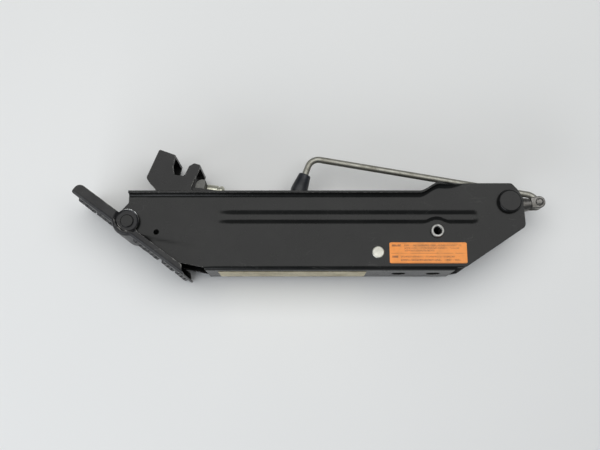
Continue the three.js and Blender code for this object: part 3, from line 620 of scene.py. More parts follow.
def scratch_group():
    """Mask: thin crooked lines, the cell borders of a stretched Voronoi pattern, cut by noise."""
    tree, given, result = value_group("scratches", {"Scale": 60.0, "Width": 0.012,
                                                    "Amount": 0.5}, "Mask")
    place = own_place(tree)
    warp = add_node(tree, "ShaderNodeTexNoise")
    warp.inputs["Scale"].default_value = 35.0
    mixed = add_node(tree, "ShaderNodeVectorMath", operation="MULTIPLY_ADD")
    mixed.inputs[1].default_value = (0.02, 0.02, 0.02)
    cells = add_node(tree, "ShaderNodeTexVoronoi", feature="DISTANCE_TO_EDGE")
    wire(tree, (place, warp.inputs["Vector"]),
         (warp.outputs["Color"], mixed.inputs[0]))
    tree.links.new(stretched(tree, place, (0.35, 1.6, 1.6), (0, 0, 0.3)),
                   mixed.inputs[2])
    wire(tree, (mixed.outputs[0], cells.inputs["Vector"]),
         (given.outputs["Scale"], cells.inputs["Scale"]))
    line = calculate(tree, "SUBTRACT", 1.0,
                     ramp(tree, cells.outputs["Distance"], 0.0, given.outputs["Width"]))
    patches = ramp(tree, noise(tree, place, 28.0, 4.0), 0.52, 0.68)
    kept = calculate(tree, "MULTIPLY", line, patches)
    tree.links.new(calculate(tree, "MULTIPLY", kept, given.outputs["Amount"], clamp=True),
                   result.inputs["Mask"])
    return tree


def dust_group():
    """Mask: cloudy dust with fine specks, thicker where the noise is high."""
    tree, given, result = value_group("dust", {"Cloud Scale": 22.0, "Speck Scale": 900.0,
                                               "Amount": 0.3}, "Mask")
    place = own_place(tree)
    cloud = ramp(tree, noise(tree, place, given.outputs["Cloud Scale"], 6.0, 0.6),
                 0.38, 0.72)
    speck = ramp(tree, noise(tree, place, given.outputs["Speck Scale"], 2.0, 0.5),
                 0.62, 0.74)
    both = calculate(tree, "ADD", calculate(tree, "MULTIPLY", cloud, 0.6),
                     calculate(tree, "MULTIPLY", speck, 0.5))
    tree.links.new(calculate(tree, "MULTIPLY", both, given.outputs["Amount"], clamp=True),
                   result.inputs["Mask"])
    return tree


edge_wear, scratches, dust = edge_wear_group(), scratch_group(), dust_group()


def effect(tree, group, **values):
    """A placed group with its own values. Returns its mask socket."""
    node = add_node(tree, "ShaderNodeGroup", node_tree=group)
    for key, value in values.items():
        node.inputs[key.replace("_", " ")].default_value = value
    return node.outputs["Mask"]


def blend_colours(tree, factor, a, b):
    """Colour a where factor is 0 and b where it is 1; each is a colour or a socket."""
    node = add_node(tree, "ShaderNodeMix", data_type="RGBA")
    tree.links.new(factor, node.inputs["Factor"])
    for key, item in (("A", a), ("B", b)):
        if isinstance(item, tuple):
            node.inputs[key].default_value = (*item, 1)
        else:
            tree.links.new(item, node.inputs[key])
    return node.outputs["Result"]


def bump(tree, shader, height, strength, distance=0.0002):
    """Height to the shader's normal."""
    node = add_node(tree, "ShaderNodeBump")
    node.inputs["Strength"].default_value = strength
    node.inputs["Distance"].default_value = distance
    tree.links.new(height, node.inputs["Height"])
    tree.links.new(node.outputs["Normal"], shader.inputs["Normal"])


def black_paint(name, colour, dusty, worn, scratched, gloss):
    """Stoved black enamel: orange peel, cloudy dust, pale scratches, bare steel at worn edges."""
    material, tree, shader = new_material(name)
    place = own_place(tree)
    wear = effect(tree, edge_wear, Radius=0.0009, Break_Scale=210.0, Reach=worn)
    line = effect(tree, scratches, Scale=55.0, Width=0.010, Amount=scratched)
    dusted = effect(tree, dust, Cloud_Scale=20.0, Speck_Scale=750.0, Amount=dusty)
    shade = noise(tree, place, 14.0, 5.0)
    base = blend_colours(tree, shade, tuple(c * 0.75 for c in colour),
                         tuple(c * 1.3 for c in colour))
    base = blend_colours(tree, dusted, base, (0.13, 0.13, 0.12))
    base = blend_colours(tree, line, base, (0.20, 0.20, 0.19))
    base = blend_colours(tree, wear, base, (0.42, 0.415, 0.39))
    tree.links.new(base, shader.inputs["Base Color"])
    tree.links.new(ramp(tree, wear, 0.3, 0.9), shader.inputs["Metallic"])
    fine = noise(tree, place, 95.0, 4.0)
    rough = calculate(tree, "ADD", calculate(tree, "MULTIPLY", fine, 0.16), gloss)
    rough = calculate(tree, "ADD", rough, calculate(tree, "MULTIPLY", dusted, 0.5), clamp=True)
    tree.links.new(rough, shader.inputs["Roughness"])
    shader.inputs["Specular IOR Level"].default_value = 0.24
    peel = noise(tree, place, 620.0, 2.0, 0.4)
    dull = calculate(tree, "ADD", calculate(tree, "MULTIPLY", peel, 0.6),
                     calculate(tree, "MULTIPLY", noise(tree, place, 120.0, 2.0), 0.8))
    bump(tree, shader, calculate(tree, "SUBTRACT", dull, calculate(tree, "MULTIPLY", wear, 0.5)),
         0.22)
    return material


stand_paint = black_paint("satin_black_enamel", (0.0065, 0.0068, 0.0065), 0.05, 0.6, 0.2, 0.17)

fit(stand_channel(), "stand", "black_paint", stand_paint, "stand_channel")

# ---------------------------------------------------------------- arm hinge tube and washers
# A drawn steel tube through both walls and the arm, flared over a thin washer at each end.
# The flares are polished bright by handling; the washers and inner spacers are phosphated.

Z_AXIS = (0, 0, 1)
GAP = 0.3                       # between neighbouring pieces
TUBE_RADIUS = 6.3
TUBE_BORE = 3.7
WASHER_FACE = STAND_OUTER + GAP + 1.2
ARM_OUTER = 19.5
UPPER_LOWER = (("upper", 1), ("lower", -1))


def worked_steel(name, colour, tint, rough, grain_stretch, streak=0.5, stain=0.35, metallic=1.0):
    """Bare or plated steel: two-tone colour, drawn grain along one axis, stains and fine pits."""
    material, tree, shader = new_material(name)
    place = own_place(tree)
    grain = noise(tree, stretched(tree, place, grain_stretch), 40.0, 6.0, 0.65)
    cloud = noise(tree, place, 130.0, 5.0, 0.6)
    spots = ramp(tree, noise(tree, place, 520.0, 3.0), 0.60, 0.72)
    base = blend_colours(tree, ramp(tree, cloud, 0.32, 0.7), colour, tint)
    base = blend_colours(tree, calculate(tree, "MULTIPLY", spots, stain), base,
                         tuple(c * 0.45 for c in tint))
    base = blend_colours(tree, calculate(tree, "MULTIPLY", ramp(tree, grain, 0.4, 0.7), streak),
                         base, tuple(c * 0.72 for c in colour))
    tree.links.new(base, shader.inputs["Base Color"])
    shader.inputs["Metallic"].default_value = metallic
    rough_map = calculate(tree, "ADD", calculate(tree, "MULTIPLY", cloud, 0.28), rough - 0.1)
    rough_map = calculate(tree, "ADD", rough_map, calculate(tree, "MULTIPLY", spots, 0.25), clamp=True)
    tree.links.new(rough_map, shader.inputs["Roughness"])
    height = calculate(tree, "SUBTRACT", calculate(tree, "MULTIPLY", grain, 0.8),
                       calculate(tree, "MULTIPLY", spots, 0.5))
    bump(tree, shader, height, 0.3, 0.00012)
    return material


EVEN = (14.0, 14.0, 14.0)
bright_steel = worked_steel("handled_bright_steel", (0.34, 0.34, 0.33), (0.20, 0.20, 0.19), 0.34, EVEN)
dark_steel = worked_steel("phosphated_steel", (0.10, 0.10, 0.095), (0.15, 0.15, 0.14), 0.48, EVEN,
                          metallic=0.8)


def ring_profile(outer, bore, low, high, ease_edge=0.3):
    """Closed profile (height, radius) of a ring with softened edges."""
    return round_corners([(low, bore, ease_edge), (low, outer, ease_edge), (high, outer, ease_edge),
                          (high, bore, ease_edge)], 30)


def pin_profile(steps, ease_edge=0.35):
    """Open profile of a stepped pin from the axis at its low end: steps are (low, high, radius)."""
    corners = [(steps[0][0], 0)]
    for low, high, radius in steps:
        corners += [(low, radius, ease_edge), (high, radius, ease_edge)]
    return round_corners(corners + [(steps[-1][1], 0)], 30)


def side_heights(side, low, high):
    """Heights above the middle plane, or their mirror image below it."""
    return (low, high) if side > 0 else (-high, -low)


def arm_hinge_tube():
    """A tube whose ends roll outwards over the washers: a closed profile with a round lip."""
    lip = WASHER_FACE + GAP
    top = lip + 1.6
    half = [(0, TUBE_RADIUS), (lip, TUBE_RADIUS, 0.1), (lip, TUBE_RADIUS + 0.8, 0.35),
            (top, TUBE_RADIUS + 0.55, 0.9), (top, TUBE_BORE + 0.9, 0.5), (top - 1.4, TUBE_BORE, 0.7)]
    lower = [(-h, *rest) for h, *rest in reversed(half[1:])]
    profile = round_corners(half + [(0, TUBE_BORE)] + lower, 18)
    return lathe(profile, world_point(0, 0), Z_AXIS, 72, closed=True, name="hinge_tube_detail")


fit(arm_hinge_tube(), "stand", "bare_steel", bright_steel, "arm_hinge_tube")
for label, side in UPPER_LOWER:
    washer = lathe(ring_profile(TUBE_RADIUS + 1, TUBE_RADIUS + GAP,
                                *side_heights(side, STAND_OUTER + GAP, WASHER_FACE)),
                   world_point(0, 0), Z_AXIS, 72, closed=True, name=f"hinge_washer_{label}_detail")
    fit(washer, "stand", "dark_steel", dark_steel, f"hinge_washer_{label}")
    spacer = lathe(ring_profile(TUBE_RADIUS + 2, TUBE_RADIUS + GAP,
                                *side_heights(side, ARM_OUTER + GAP, STAND_INNER - GAP), 0.5),
                   world_point(0, 0), Z_AXIS, 72, closed=True, name=f"hinge_spacer_{label}_detail")
    fit(spacer, "stand", "dark_steel", dark_steel, f"hinge_spacer_{label}")

# ---------------------------------------------------------------- stop rivet and its sleeve
# A zinc-plated rivet right through the leg, its flat head struck down on the wall. The folded
# arm rests on a loose steel sleeve on its shank.

RIVET_HEAD = 6.5
RIVET_SHANK = 4.0
RIVET_RISE = 2.0
zinc_plate = worked_steel("zinc_plate", (0.55, 0.545, 0.49), (0.40, 0.40, 0.35), 0.42, EVEN,
                          streak=0.25, stain=0.3, metallic=0.75)


def struck_head(radius, under, rise, crown=0.35):
    """Corners (height, radius, rounding) of a rivet head: a low crown with a rolled-down rim."""
    return [(under, radius - 0.25, 0.2), (under + rise * 0.45, radius, 0.5),
            (under + rise - crown * 0.4, radius - 0.9, 0.8), (under + rise, radius * 0.45, 1.5)]


def rivet(name, place, shank, head, rise):
    """A headed pin through both walls, the same at both ends."""
    under = STAND_OUTER + GAP
    crown = [(under + rise, 0)] + struck_head(head, under, rise)[::-1] + [(under, shank, 0.1)]
    return lathe(round_corners(both_ends(crown), 18), world_point(*place), Z_AXIS, 72, name=name)


fit(rivet("stop_rivet_detail", STOP_RIVET_AT, RIVET_SHANK, RIVET_HEAD, RIVET_RISE), "stand",
    "zinc_plate", zinc_plate, "stop_rivet")
fit(lathe(ring_profile(8.0, RIVET_SHANK + GAP, GAP - STAND_INNER, STAND_INNER - GAP, 0.6),
          world_point(*STOP_RIVET_AT), Z_AXIS, 72, closed=True, name="stop_sleeve_detail"),
    "stand", "dark_steel", dark_steel, "stop_sleeve")

# ---------------------------------------------------------------- foot
# One plate pressed to a shallow tray: its sole carries rows of gripping cleats and swells
# round the leg's ears, its flanges are dished at the pivot. Enamelled black, then worn hard.

FOOT_ORIGIN = joint_at["foot_tilt"]
SIDE_PLANE = STAND_OUTER + LIP_OUT   # lips, foot and trunnion heads all reach it
SOLE_FACE = -10.5                    # outer face below the pivot
SOLE_ENDS = (-66.6, 82.8)            # toe and heel, along the sole from the pivot
BULGE = 15.7
FOOT_EAR_OUT = 12.6
TOE_FLANGE = 2.3
HEEL_FLANGE = -2.6
CLEAT_ROWS = (-55, -30, 19, 35, 57, 75)
CLEAT_COLUMNS = (-20, 0, 20)
CLEAT_RISE = 2.7
EAR_DISH = 3.2


def foot_middle_lines(along):
    """Middle line (z, v) of the tray at each place along the sole. The sole's outer face is the
    lower of the flat and the bulge circle v = -sqrt(r^2 - u^2); each cleat adds a flat-topped
    bump, the product of two eased steps; the flanges are pressed in round the pivot."""
    half = SHEET / 2
    bend = half + 2.0
    u = np.asarray(along, float)[:, None]
    bulge = np.sqrt(np.clip(BULGE ** 2 - u ** 2, 0, None))
    sole = -np.logaddexp(-SOLE_FACE * 2.2, bulge * 2.2) / 2.2 + half
    across = np.linspace(0, SIDE_PLANE - half - bend, 62)
    corner = np.radians(np.linspace(-90, 0, 9))[1:]
    flange = np.linspace(0, 1, 44)[1:]
    ones = np.ones_like(u)
    z = np.concatenate([across * ones, (SIDE_PLANE - half - bend + bend * np.cos(corner)) * ones,
                        (SIDE_PLANE - half) * ones * np.ones_like(flange)], 1)
    start = sole + bend
    v = np.concatenate([sole * np.ones_like(across), start + bend * np.sin(corner),
                        start + (FOOT_EAR_OUT + 4 - start) * flange], 1)
    row = sum(1 - ease(np.abs(u - place), 1.3, 3.7) for place in CLEAT_ROWS)
    column = sum(1 - ease(np.abs(z - place), 5.0, 7.4) for place in CLEAT_COLUMNS)
    on_sole = 1 - ease(v, sole + half, sole + bend)
    v = v - CLEAT_RISE * row * column * on_sole
    pressed = 1 - ease(np.hypot(u, v), 10.2, 15.5)
    on_flange = ease(v, start - 0.5, start + 0.5)
    worn = 0.2 * (1 + np.sin(u / 7.0) * np.sin(u / 3.1 + 1.0)) * on_flange
    return both_halves(z - on_flange * EAR_DISH * pressed - worn * (1 - pressed), v)


def foot_outline():
    """The tray in side view: rounded toe, flange stepping down to the heel, sole below."""
    below = -BULGE - CLEAT_RISE - 4
    return round_corners([
        (SOLE_ENDS[0], SOLE_FACE + 0.4, 1.2), (SOLE_ENDS[0] + 1.2, SOLE_FACE - 0.9, 1.2),
        (SOLE_ENDS[0] + 3, below), (SOLE_ENDS[1] - 3, below),
        (SOLE_ENDS[1] - 1.2, SOLE_FACE - 0.9, 1.2), (SOLE_ENDS[1], SOLE_FACE + 0.4, 1.2),
        (SOLE_ENDS[1], SOLE_FACE + SHEET - 0.1, 1.0), (SOLE_ENDS[1] - 3, SOLE_FACE + SHEET + 0.3, 1.5),
        (SOLE_ENDS[1] - 8, HEEL_FLANGE, 3), (FOOT_EAR_OUT + 4, HEEL_FLANGE, 5),
        (FOOT_EAR_OUT - 6, HEEL_FLANGE + 3, 2), (-FOOT_EAR_OUT, TOE_FLANGE, 4),
        (SOLE_ENDS[0], TOE_FLANGE, 7)])


def foot_plate():
    """The pressed tray, cut to outline with its two ears, and drilled for its rivets."""
    along = np.unique(np.concatenate([np.linspace(SOLE_ENDS[0] - 4, SOLE_ENDS[1] + 4, 150),
                                      *[place + np.linspace(-4, 4, 15) for place in CLEAT_ROWS],
                                      np.linspace(-18, 18, 40)]))
    tray = folded_sheet("foot_plate_detail", foot_middle_lines(along), along, FOOT_ORIGIN, FOOT_SLOPE)
    faces = [(SIDE_PLANE, SIDE_PLANE - SHEET)]
    reach = SIDE_PLANE + 8
    die = blanking_die(foot_outline(), faces, reach, FOOT_ORIGIN, FOOT_SLOPE)
    cut(die, blanking_die(round_outline((0, 0), FOOT_EAR_OUT), faces, reach, FOOT_ORIGIN), "UNION")
    cut(tray, die, "INTERSECT")
    dish = SIDE_PLANE - EAR_DISH
    drilled(tray, FOOT_RIVET_HOLE, [(dish, dish - SHEET)], reach, FOOT_ORIGIN)
    smooth(tray)
    return tray


foot_paint = black_paint("worn_black_enamel", (0.010, 0.010, 0.011), 0.28, 1.0, 0.5, 0.24)
fit(foot_plate(), "foot", "worn_paint", foot_paint, "foot_plate")

# ---------------------------------------------------------------- foot rivets
# One short solid rivet in each ear, with a flat head inside the leg and a round one in the
# foot's dished ear, painted over with the leg.

EAR_FACE = STAND_OUTER + 0.8 + SHEET
EAR_RIVET_SHANK = 4.5
EAR_RIVET_HEAD = 7.0
EAR_RIVET_RISE = 1.6
INNER_HEAD = (6.5, 1.4)              # radius and height inside the leg
for label, side in UPPER_LOWER:
    inner, under = STAND_INNER - GAP, EAR_FACE + GAP
    low = inner - INNER_HEAD[1]
    corners = [(low, 0), (low, INNER_HEAD[0], 0.6), (inner, INNER_HEAD[0], 0.3),
               (inner, EAR_RIVET_SHANK, 0.1), (under, EAR_RIVET_SHANK, 0.1),
               *struck_head(EAR_RIVET_HEAD, under, EAR_RIVET_RISE, 0.3),
               (under + EAR_RIVET_RISE, 0)]
    profile = round_corners(corners, 18) * [side, 1]
    fit(lathe(profile, FOOT_ORIGIN, Z_AXIS, 64, name=f"foot_rivet_{label}_detail"), "stand",
        "black_paint", stand_paint, f"foot_rivet_{label}")

# ---------------------------------------------------------------- arm channel
# The lifting arm: a U-channel of the same sheet, folded shut inside the leg, with a long window
# in its web that the spindle swings through. Painted like the leg, less handled.

ARM_AT = joint_at["arm_lift"]
SADDLE_AT = joint_at["saddle_tilt"]
ARM_LENGTH = float(np.linalg.norm(ARM_AT - SADDLE_AT) / MM)
ARM_SLOPE = math.degrees(math.atan2(*(ARM_AT - SADDLE_AT)[1::-1]))
NUT_FROM_HINGE = float(np.linalg.norm(ARM_AT - joint_at["nut_swivel"]) / MM)
ARM_WEB = -22.4
ARM_TOP = 14.0
ARM_NOSE = 31.0
ARM_TAIL = 14.0
ARM_WINDOW = (0.5, 142.0, 13.0)      # from the nut, to, and half width
ARM_INNER = ARM_OUTER - SHEET
NUT_HOLE = 12.6
SADDLE_PIN_HOLE = 10.6


def arm_middle_lines(along):
    """Middle line (z, n): web, two quarter bends and the cheeks up to their free edges, with a
    shallow stiffening bead along each cheek."""
    half = SHEET / 2
    bend = half + 1.75
    x = np.asarray(along, float)[:, None]
    across = np.linspace(0, ARM_OUTER - half - bend, 8)
    corner = np.radians(np.linspace(-90, 0, 9))[1:]
    cheek = np.linspace(0, 1, 36)[1:]
    bottom = ARM_WEB + half + bend
    z = np.concatenate([across, ARM_OUTER - half - bend + bend * np.cos(corner),
                        np.full(cheek.shape, ARM_OUTER - half)])
    n = np.concatenate([np.full(across.shape, ARM_WEB + half), bottom + bend * np.sin(corner),
                        bottom + (ARM_TOP - bottom) * cheek])
    z, n = z * np.ones_like(x), n * np.ones_like(x)
    inside = np.clip(x, -ARM_LENGTH + 40, -NUT_FROM_HINGE - 24)
    z = z - 0.8 * (1 - ease(np.hypot(x - inside, n + 3), 2, 6)) * (z > ARM_OUTER - half - 0.05)
    return both_halves(z, n)


def upright_slot(x0, x1, half_width, low, high, corner, origin, slope):
    """A straight cutter through a web: a rounded slot in plan, carried from low to high."""
    outline = round_corners([(x0, -half_width, corner), (x1, -half_width, corner),
                             (x1, half_width, corner), (x0, half_width, corner)])
    solid = np.empty((2, len(outline), 3))
    for row, level in enumerate((low, high)):
        solid[row, :, 0], solid[row, :, 1], solid[row, :, 2] = outline[:, 0], level, outline[:, 1]
    ring = np.arange(len(outline))
    return surface("slot", on_body(solid, origin, slope),
                   grid_faces(2, len(outline), close_columns=True),
                   caps=[ring, ring + len(outline)])


def arm_channel():
    """The folded strip, blanked round its nose and tail, slotted and drilled."""
    nose = -ARM_LENGTH - ARM_NOSE
    along = np.linspace(nose - 4, ARM_TAIL + 4, 120)
    strip = folded_sheet("arm_channel_detail", arm_middle_lines(along), along, ARM_AT, ARM_SLOPE)
    faces = [(ARM_OUTER, ARM_INNER)]
    above = ARM_TOP + 6
    outline = round_corners([(ARM_TAIL, ARM_WEB, 10), (ARM_TAIL, ARM_TOP, 12),
                             (ARM_TAIL - 11, ARM_TOP + 0.01), (ARM_TAIL - 11, above),
                             (nose + 7, above), (nose + 7, ARM_TOP + 0.01),
                             (nose, ARM_TOP, 6), (nose + 4, ARM_WEB, 9)])
    cut(strip, blanking_die(outline, faces, ARM_OUTER + 8, ARM_AT, ARM_SLOPE), "INTERSECT")
    start, end, half_width = ARM_WINDOW
    cut(strip, upright_slot(-NUT_FROM_HINGE - end, -NUT_FROM_HINGE - start, half_width,
                            ARM_WEB - 4, ARM_WEB + 6, 6, ARM_AT, ARM_SLOPE), "DIFFERENCE")
    for from_hinge, diameter in ((0, HINGE_HOLE), (NUT_FROM_HINGE, NUT_HOLE),
                                  (ARM_LENGTH, SADDLE_PIN_HOLE)):
        centre = on_body(np.array([-from_hinge, 0.0, 0.0]), ARM_AT, ARM_SLOPE)
        drilled(strip, diameter, faces, 40, centre)
    smooth(strip)
    return strip


inner_paint = black_paint("satin_black_enamel_inside", (0.008, 0.008, 0.008), 0.12, 0.5, 0.3, 0.28)
fit(arm_channel(), "arm", "black_paint", inner_paint, "arm_channel")

# ---------------------------------------------------------------- saddle pin, block and stop bolt
# A headed steel pin carries the saddle on the arm, with a spacer tube on it between the cheeks.
# Beside it a welded block holds a plated stop bolt with a turned groove near its end.

BOLT_LINE = 17.5                # above the arm's line
BOLT_RADIUS = 6.2
BOLT_SHANK = 4.0
BOLT_GROOVE = 5.0
BLOCK_START = -ARM_LENGTH + 10
BLOCK_END = BLOCK_START + 11
SADDLE_PIN_RADIUS = 5.0
SADDLE_PIN_HEAD = 7.5


def in_arm(x, n):
    """A point of the arm's own axes (mm from its hinge), in metres in the frame."""
    return on_body(np.array([x, n, 0.0]), ARM_AT, ARM_SLOPE)


def direction(degrees):
    """The unit vector in the side plane at that slope."""
    return np.array([math.cos(math.radians(degrees)), math.sin(math.radians(degrees)), 0.0])


def prism(name, outline, low, high, origin, slope=0.0, round_edge=0.5):
    """A plate: an outline carried from low to high, drawn in by a quarter round at both faces."""
    down = quarter_round(round_edge)
    levels = [(low + lift, draw) for lift, draw in down]
    levels += [(high - lift, draw) for lift, draw in reversed(down)]
    return outline_loft(name, outline, 4, levels, origin, slope)


pin_end = STAND_INNER - GAP
pin_head = pin_end - 1.5 + GAP
saddle_pin_corners = [(pin_end, 0), (pin_end, SADDLE_PIN_HEAD, 0.5), (pin_head, SADDLE_PIN_HEAD, 0.3),
                      (pin_head, SADDLE_PIN_RADIUS, 0.1)]
fit(lathe(round_corners(both_ends(saddle_pin_corners), 20), SADDLE_AT, Z_AXIS, 64, name="saddle_pin_detail"),
    "arm", "dark_steel", dark_steel, "saddle_pin")
fit(lathe(ring_profile(SADDLE_PIN_RADIUS + 2, SADDLE_PIN_RADIUS + GAP, GAP - ARM_INNER,
                       ARM_INNER - GAP, 0.5),
          SADDLE_AT, Z_AXIS, 64, closed=True, name="saddle_pin_spacer_detail"), "arm", "dark_steel",
    dark_steel, "saddle_pin_spacer")

block = prism("stop_bolt_block_detail", round_corners([
    (BLOCK_START, -6, 2), (BLOCK_END, -6, 2), (BLOCK_END, BOLT_LINE + 7.4, 3),
    (BLOCK_START, BOLT_LINE + 7.4, 8)]), GAP - ARM_INNER, ARM_INNER - GAP, ARM_AT, ARM_SLOPE, 0.8)
cut(block, lathe([(-20, 0), (-20, BOLT_SHANK + GAP), (20, BOLT_SHANK + GAP), (20, 0)],
                 in_arm((BLOCK_START + BLOCK_END) / 2, BOLT_LINE), direction(ARM_SLOPE), 48),
    "DIFFERENCE")
smooth(block)
fit(block, "arm", "dark_steel", dark_steel, "stop_bolt_block")

bolt_steps = [(BLOCK_START - 1, 0), (BLOCK_START - 1, BOLT_SHANK, 0.6),
              (BLOCK_END + GAP, BOLT_SHANK, 0.1), (BLOCK_END + GAP, BOLT_RADIUS, 0.5),
              (BLOCK_END + 12, BOLT_RADIUS, 0.5), (BLOCK_END + 12.3, BOLT_GROOVE, 0.4),
              (BLOCK_END + 14.2, BOLT_GROOVE, 0.4), (BLOCK_END + 14.5, BOLT_RADIUS, 0.5),
              (BLOCK_END + 17.2, BOLT_RADIUS, 0.8), (BLOCK_END + 19, 4.2, 1.0), (BLOCK_END + 19, 0)]
bolt = lathe(round_corners(bolt_steps, 18), in_arm(0, BOLT_LINE), direction(ARM_SLOPE), 72,
             name="stop_bolt_detail")
turned_zinc = worked_steel("turned_zinc", (0.62, 0.62, 0.52), (0.48, 0.47, 0.38), 0.36,
                           (60.0, 8.0, 8.0), streak=0.4, stain=0.45, metallic=0.85)
fit(bolt, "arm", "zinc_plate", turned_zinc, "stop_bolt")

# ---------------------------------------------------------------- saddle
# The swivelling claw that takes the sill: one plate folded over two lobes, so that a web joins
# its cheeks over each lobe and the notch between them stays open. Painted black, then scraped.

SADDLE_INNER = ARM_OUTER + 0.7
SADDLE_OUTER = SADDLE_INNER + SHEET
SADDLE_OUTLINE = [
    (-8, -12, 8), (12, -8, 9), (9.5, 12.5, 3), (16.6, 29.5, 2), (18.8, 36.4, 1.5),
    (11.6, 38.4, 2.5), (6.3, 35.2, 2), (2.2, 26, 1), (0.5, 24.4, 1.2), (-9.6, 25.6, 1.5),
    (-11, 35.2, 2), (-8.4, 47.4, 1), (-26.4, 54, 2), (-39.2, 22.2, 4), (-35, 15.8, 3)]


def saddle():
    """Two cheeks and the webs over their lobes, joined into one plate with softened folds."""
    outline = round_corners(SADDLE_OUTLINE)
    webs = [[(-44, 30), (-35.5, 29), (-24.6, 50.5, 2), (-7, 44.2), (-7, 60), (-44, 60)],
            [(7.6, 34.5), (11.8, 35.6), (17.4, 33.6), (22, 32), (24, 42), (7.6, 42)]]
    made = prism("saddle_detail", outline, SADDLE_INNER, SADDLE_OUTER, SADDLE_AT, 0, 0.35)
    cut(made, prism("cheek", outline, -SADDLE_OUTER, -SADDLE_INNER, SADDLE_AT, 0, 0.35), "UNION")
    for corners in webs:
        web = prism("web", outline, -SADDLE_OUTER, SADDLE_OUTER, SADDLE_AT, 0, 0.9)
        cut(web, prism("zone", round_corners(corners), -40, 40, SADDLE_AT, 0, 0.2), "INTERSECT")
        cut(made, web, "UNION")
    drilled(made, SADDLE_PIN_HOLE, [(SADDLE_OUTER, SADDLE_INNER)], 40, SADDLE_AT)
    smooth(made, 36)
    return made


saddle_paint = black_paint("scraped_black_enamel", (0.009, 0.009, 0.009), 0.10, 1.0, 0.8, 0.2)
fit(saddle(), "saddle", "black_paint", saddle_paint, "saddle")

# ---------------------------------------------------------------- trunnion nut and its washers
# A turned steel cross barrel, bored and tapped along the spindle, with a journal in each cheek
# of the arm and a thin phosphated washer on each journal.

NUT_AT = joint_at["nut_swivel"]
TRUNNION_PIN_AT = joint_at["spindle_swing"]
SPINDLE_SLOPE = math.degrees(math.atan2(*(TRUNNION_PIN_AT - NUT_AT)[1::-1]))
SPINDLE_RADIUS = 6.2
SPINDLE_AXIS = direction(SPINDLE_SLOPE)
nut_face = ARM_INNER - GAP
nut_end = ARM_OUTER + GAP + 2.4
NUT_JOURNAL = 6.0
NUT_BARREL = 9.5
nut_corners = [(nut_end, 0), (nut_end, NUT_JOURNAL, 0.6), (nut_face, NUT_JOURNAL, 0.2),
               (nut_face, NUT_BARREL, 0.7)]
nut = lathe(round_corners(both_ends(nut_corners), 20), NUT_AT, Z_AXIS, 72, name="trunnion_nut_detail")
turned_steel = worked_steel("turned_steel", (0.42, 0.42, 0.39), (0.30, 0.29, 0.26), 0.38,
                            (9.0, 9.0, 60.0), streak=0.45, stain=0.4)


def spindle_bore():
    """A drill along the spindle, centred on the nut's or the trunnion's own pin."""
    radius, reach = SPINDLE_RADIUS + GAP, 24.0
    return [(-reach, 0), (-reach, radius), (reach, radius), (reach, 0)]


cut(nut, lathe(spindle_bore(), NUT_AT, SPINDLE_AXIS, 64), "DIFFERENCE")
smooth(nut)
fit(nut, "nut", "bare_steel", turned_steel, "trunnion_nut")
for label, side in UPPER_LOWER:
    washer = lathe(ring_profile(8.5, NUT_JOURNAL + GAP, *side_heights(side, ARM_OUTER + GAP,
                                                              ARM_OUTER + GAP + 1.4), 0.3),
                   NUT_AT, Z_AXIS, 64, closed=True, name=f"nut_washer_{label}_detail")
    fit(washer, "arm", "dark_steel", dark_steel, f"nut_washer_{label}")

# ---------------------------------------------------------------- trunnion
# The cross pin that carries the spindle's thrust bearing. Its turned heads stand on the walls
# and are painted with the leg; the barrel between the walls is milled flat for the bearing.

SEAT = 9.5
trunnion_inner = STAND_INNER - GAP
head_under = STAND_OUTER + GAP
HEAD_RADIUS = 12.75
trunnion_corners = [(SIDE_PLANE, 0), (SIDE_PLANE, 2, 4), (SIDE_PLANE - 0.35, HEAD_RADIUS - 1.2, 2.2),
                    (SIDE_PLANE - 3.4, HEAD_RADIUS, 1.4), (head_under + 0.8, HEAD_RADIUS, 0.4),
                    (head_under, HEAD_RADIUS - 1.2, 0.5), (head_under, 10, 0.1),
                    (trunnion_inner, 10, 0.1), (trunnion_inner, 11, 0.6)]
trunnion = lathe(round_corners(both_ends(trunnion_corners), 12), TRUNNION_PIN_AT, Z_AXIS, 96,
                 name="trunnion_detail")
cut(trunnion, lathe(spindle_bore(), TRUNNION_PIN_AT, SPINDLE_AXIS, 64), "DIFFERENCE")
cut(trunnion, prism("flat", np.array([(SEAT, -20.0), (30, -20), (30, 20), (SEAT, 20)]),
                    4 - trunnion_inner, trunnion_inner - 4, TRUNNION_PIN_AT, SPINDLE_SLOPE, 0.3),
    "DIFFERENCE")
smooth(trunnion)
trunnion_paint = black_paint("glossy_black_enamel", (0.006, 0.006, 0.006), 0.05, 0.55, 0.25, 0.12)
fit(trunnion, "spindle", "black_paint", trunnion_paint, "trunnion")

# ---------------------------------------------------------------- thrust bearing
# Two hardened washers with a ring of balls in a pressed cage between them, on the spindle
# between the trunnion's flat and the spindle's collar.

BEARING_SHEET = 1.5
BALL = 3.4
BEARING_RADIUS = 9.2
washer_start = SEAT + GAP
ball_start = washer_start + BEARING_SHEET + GAP
outer_start = ball_start + BALL + GAP
collar_start = outer_start + BEARING_SHEET + GAP
for name, start in (("thrust_washer_inner", washer_start), ("thrust_washer_outer", outer_start)):
    fit(lathe(ring_profile(BEARING_RADIUS, SPINDLE_RADIUS + GAP, start, start + BEARING_SHEET, 0.35),
              TRUNNION_PIN_AT, SPINDLE_AXIS, 80, closed=True, name=f"{name}_detail"),
        "spindle", "bare_steel", turned_steel, name)


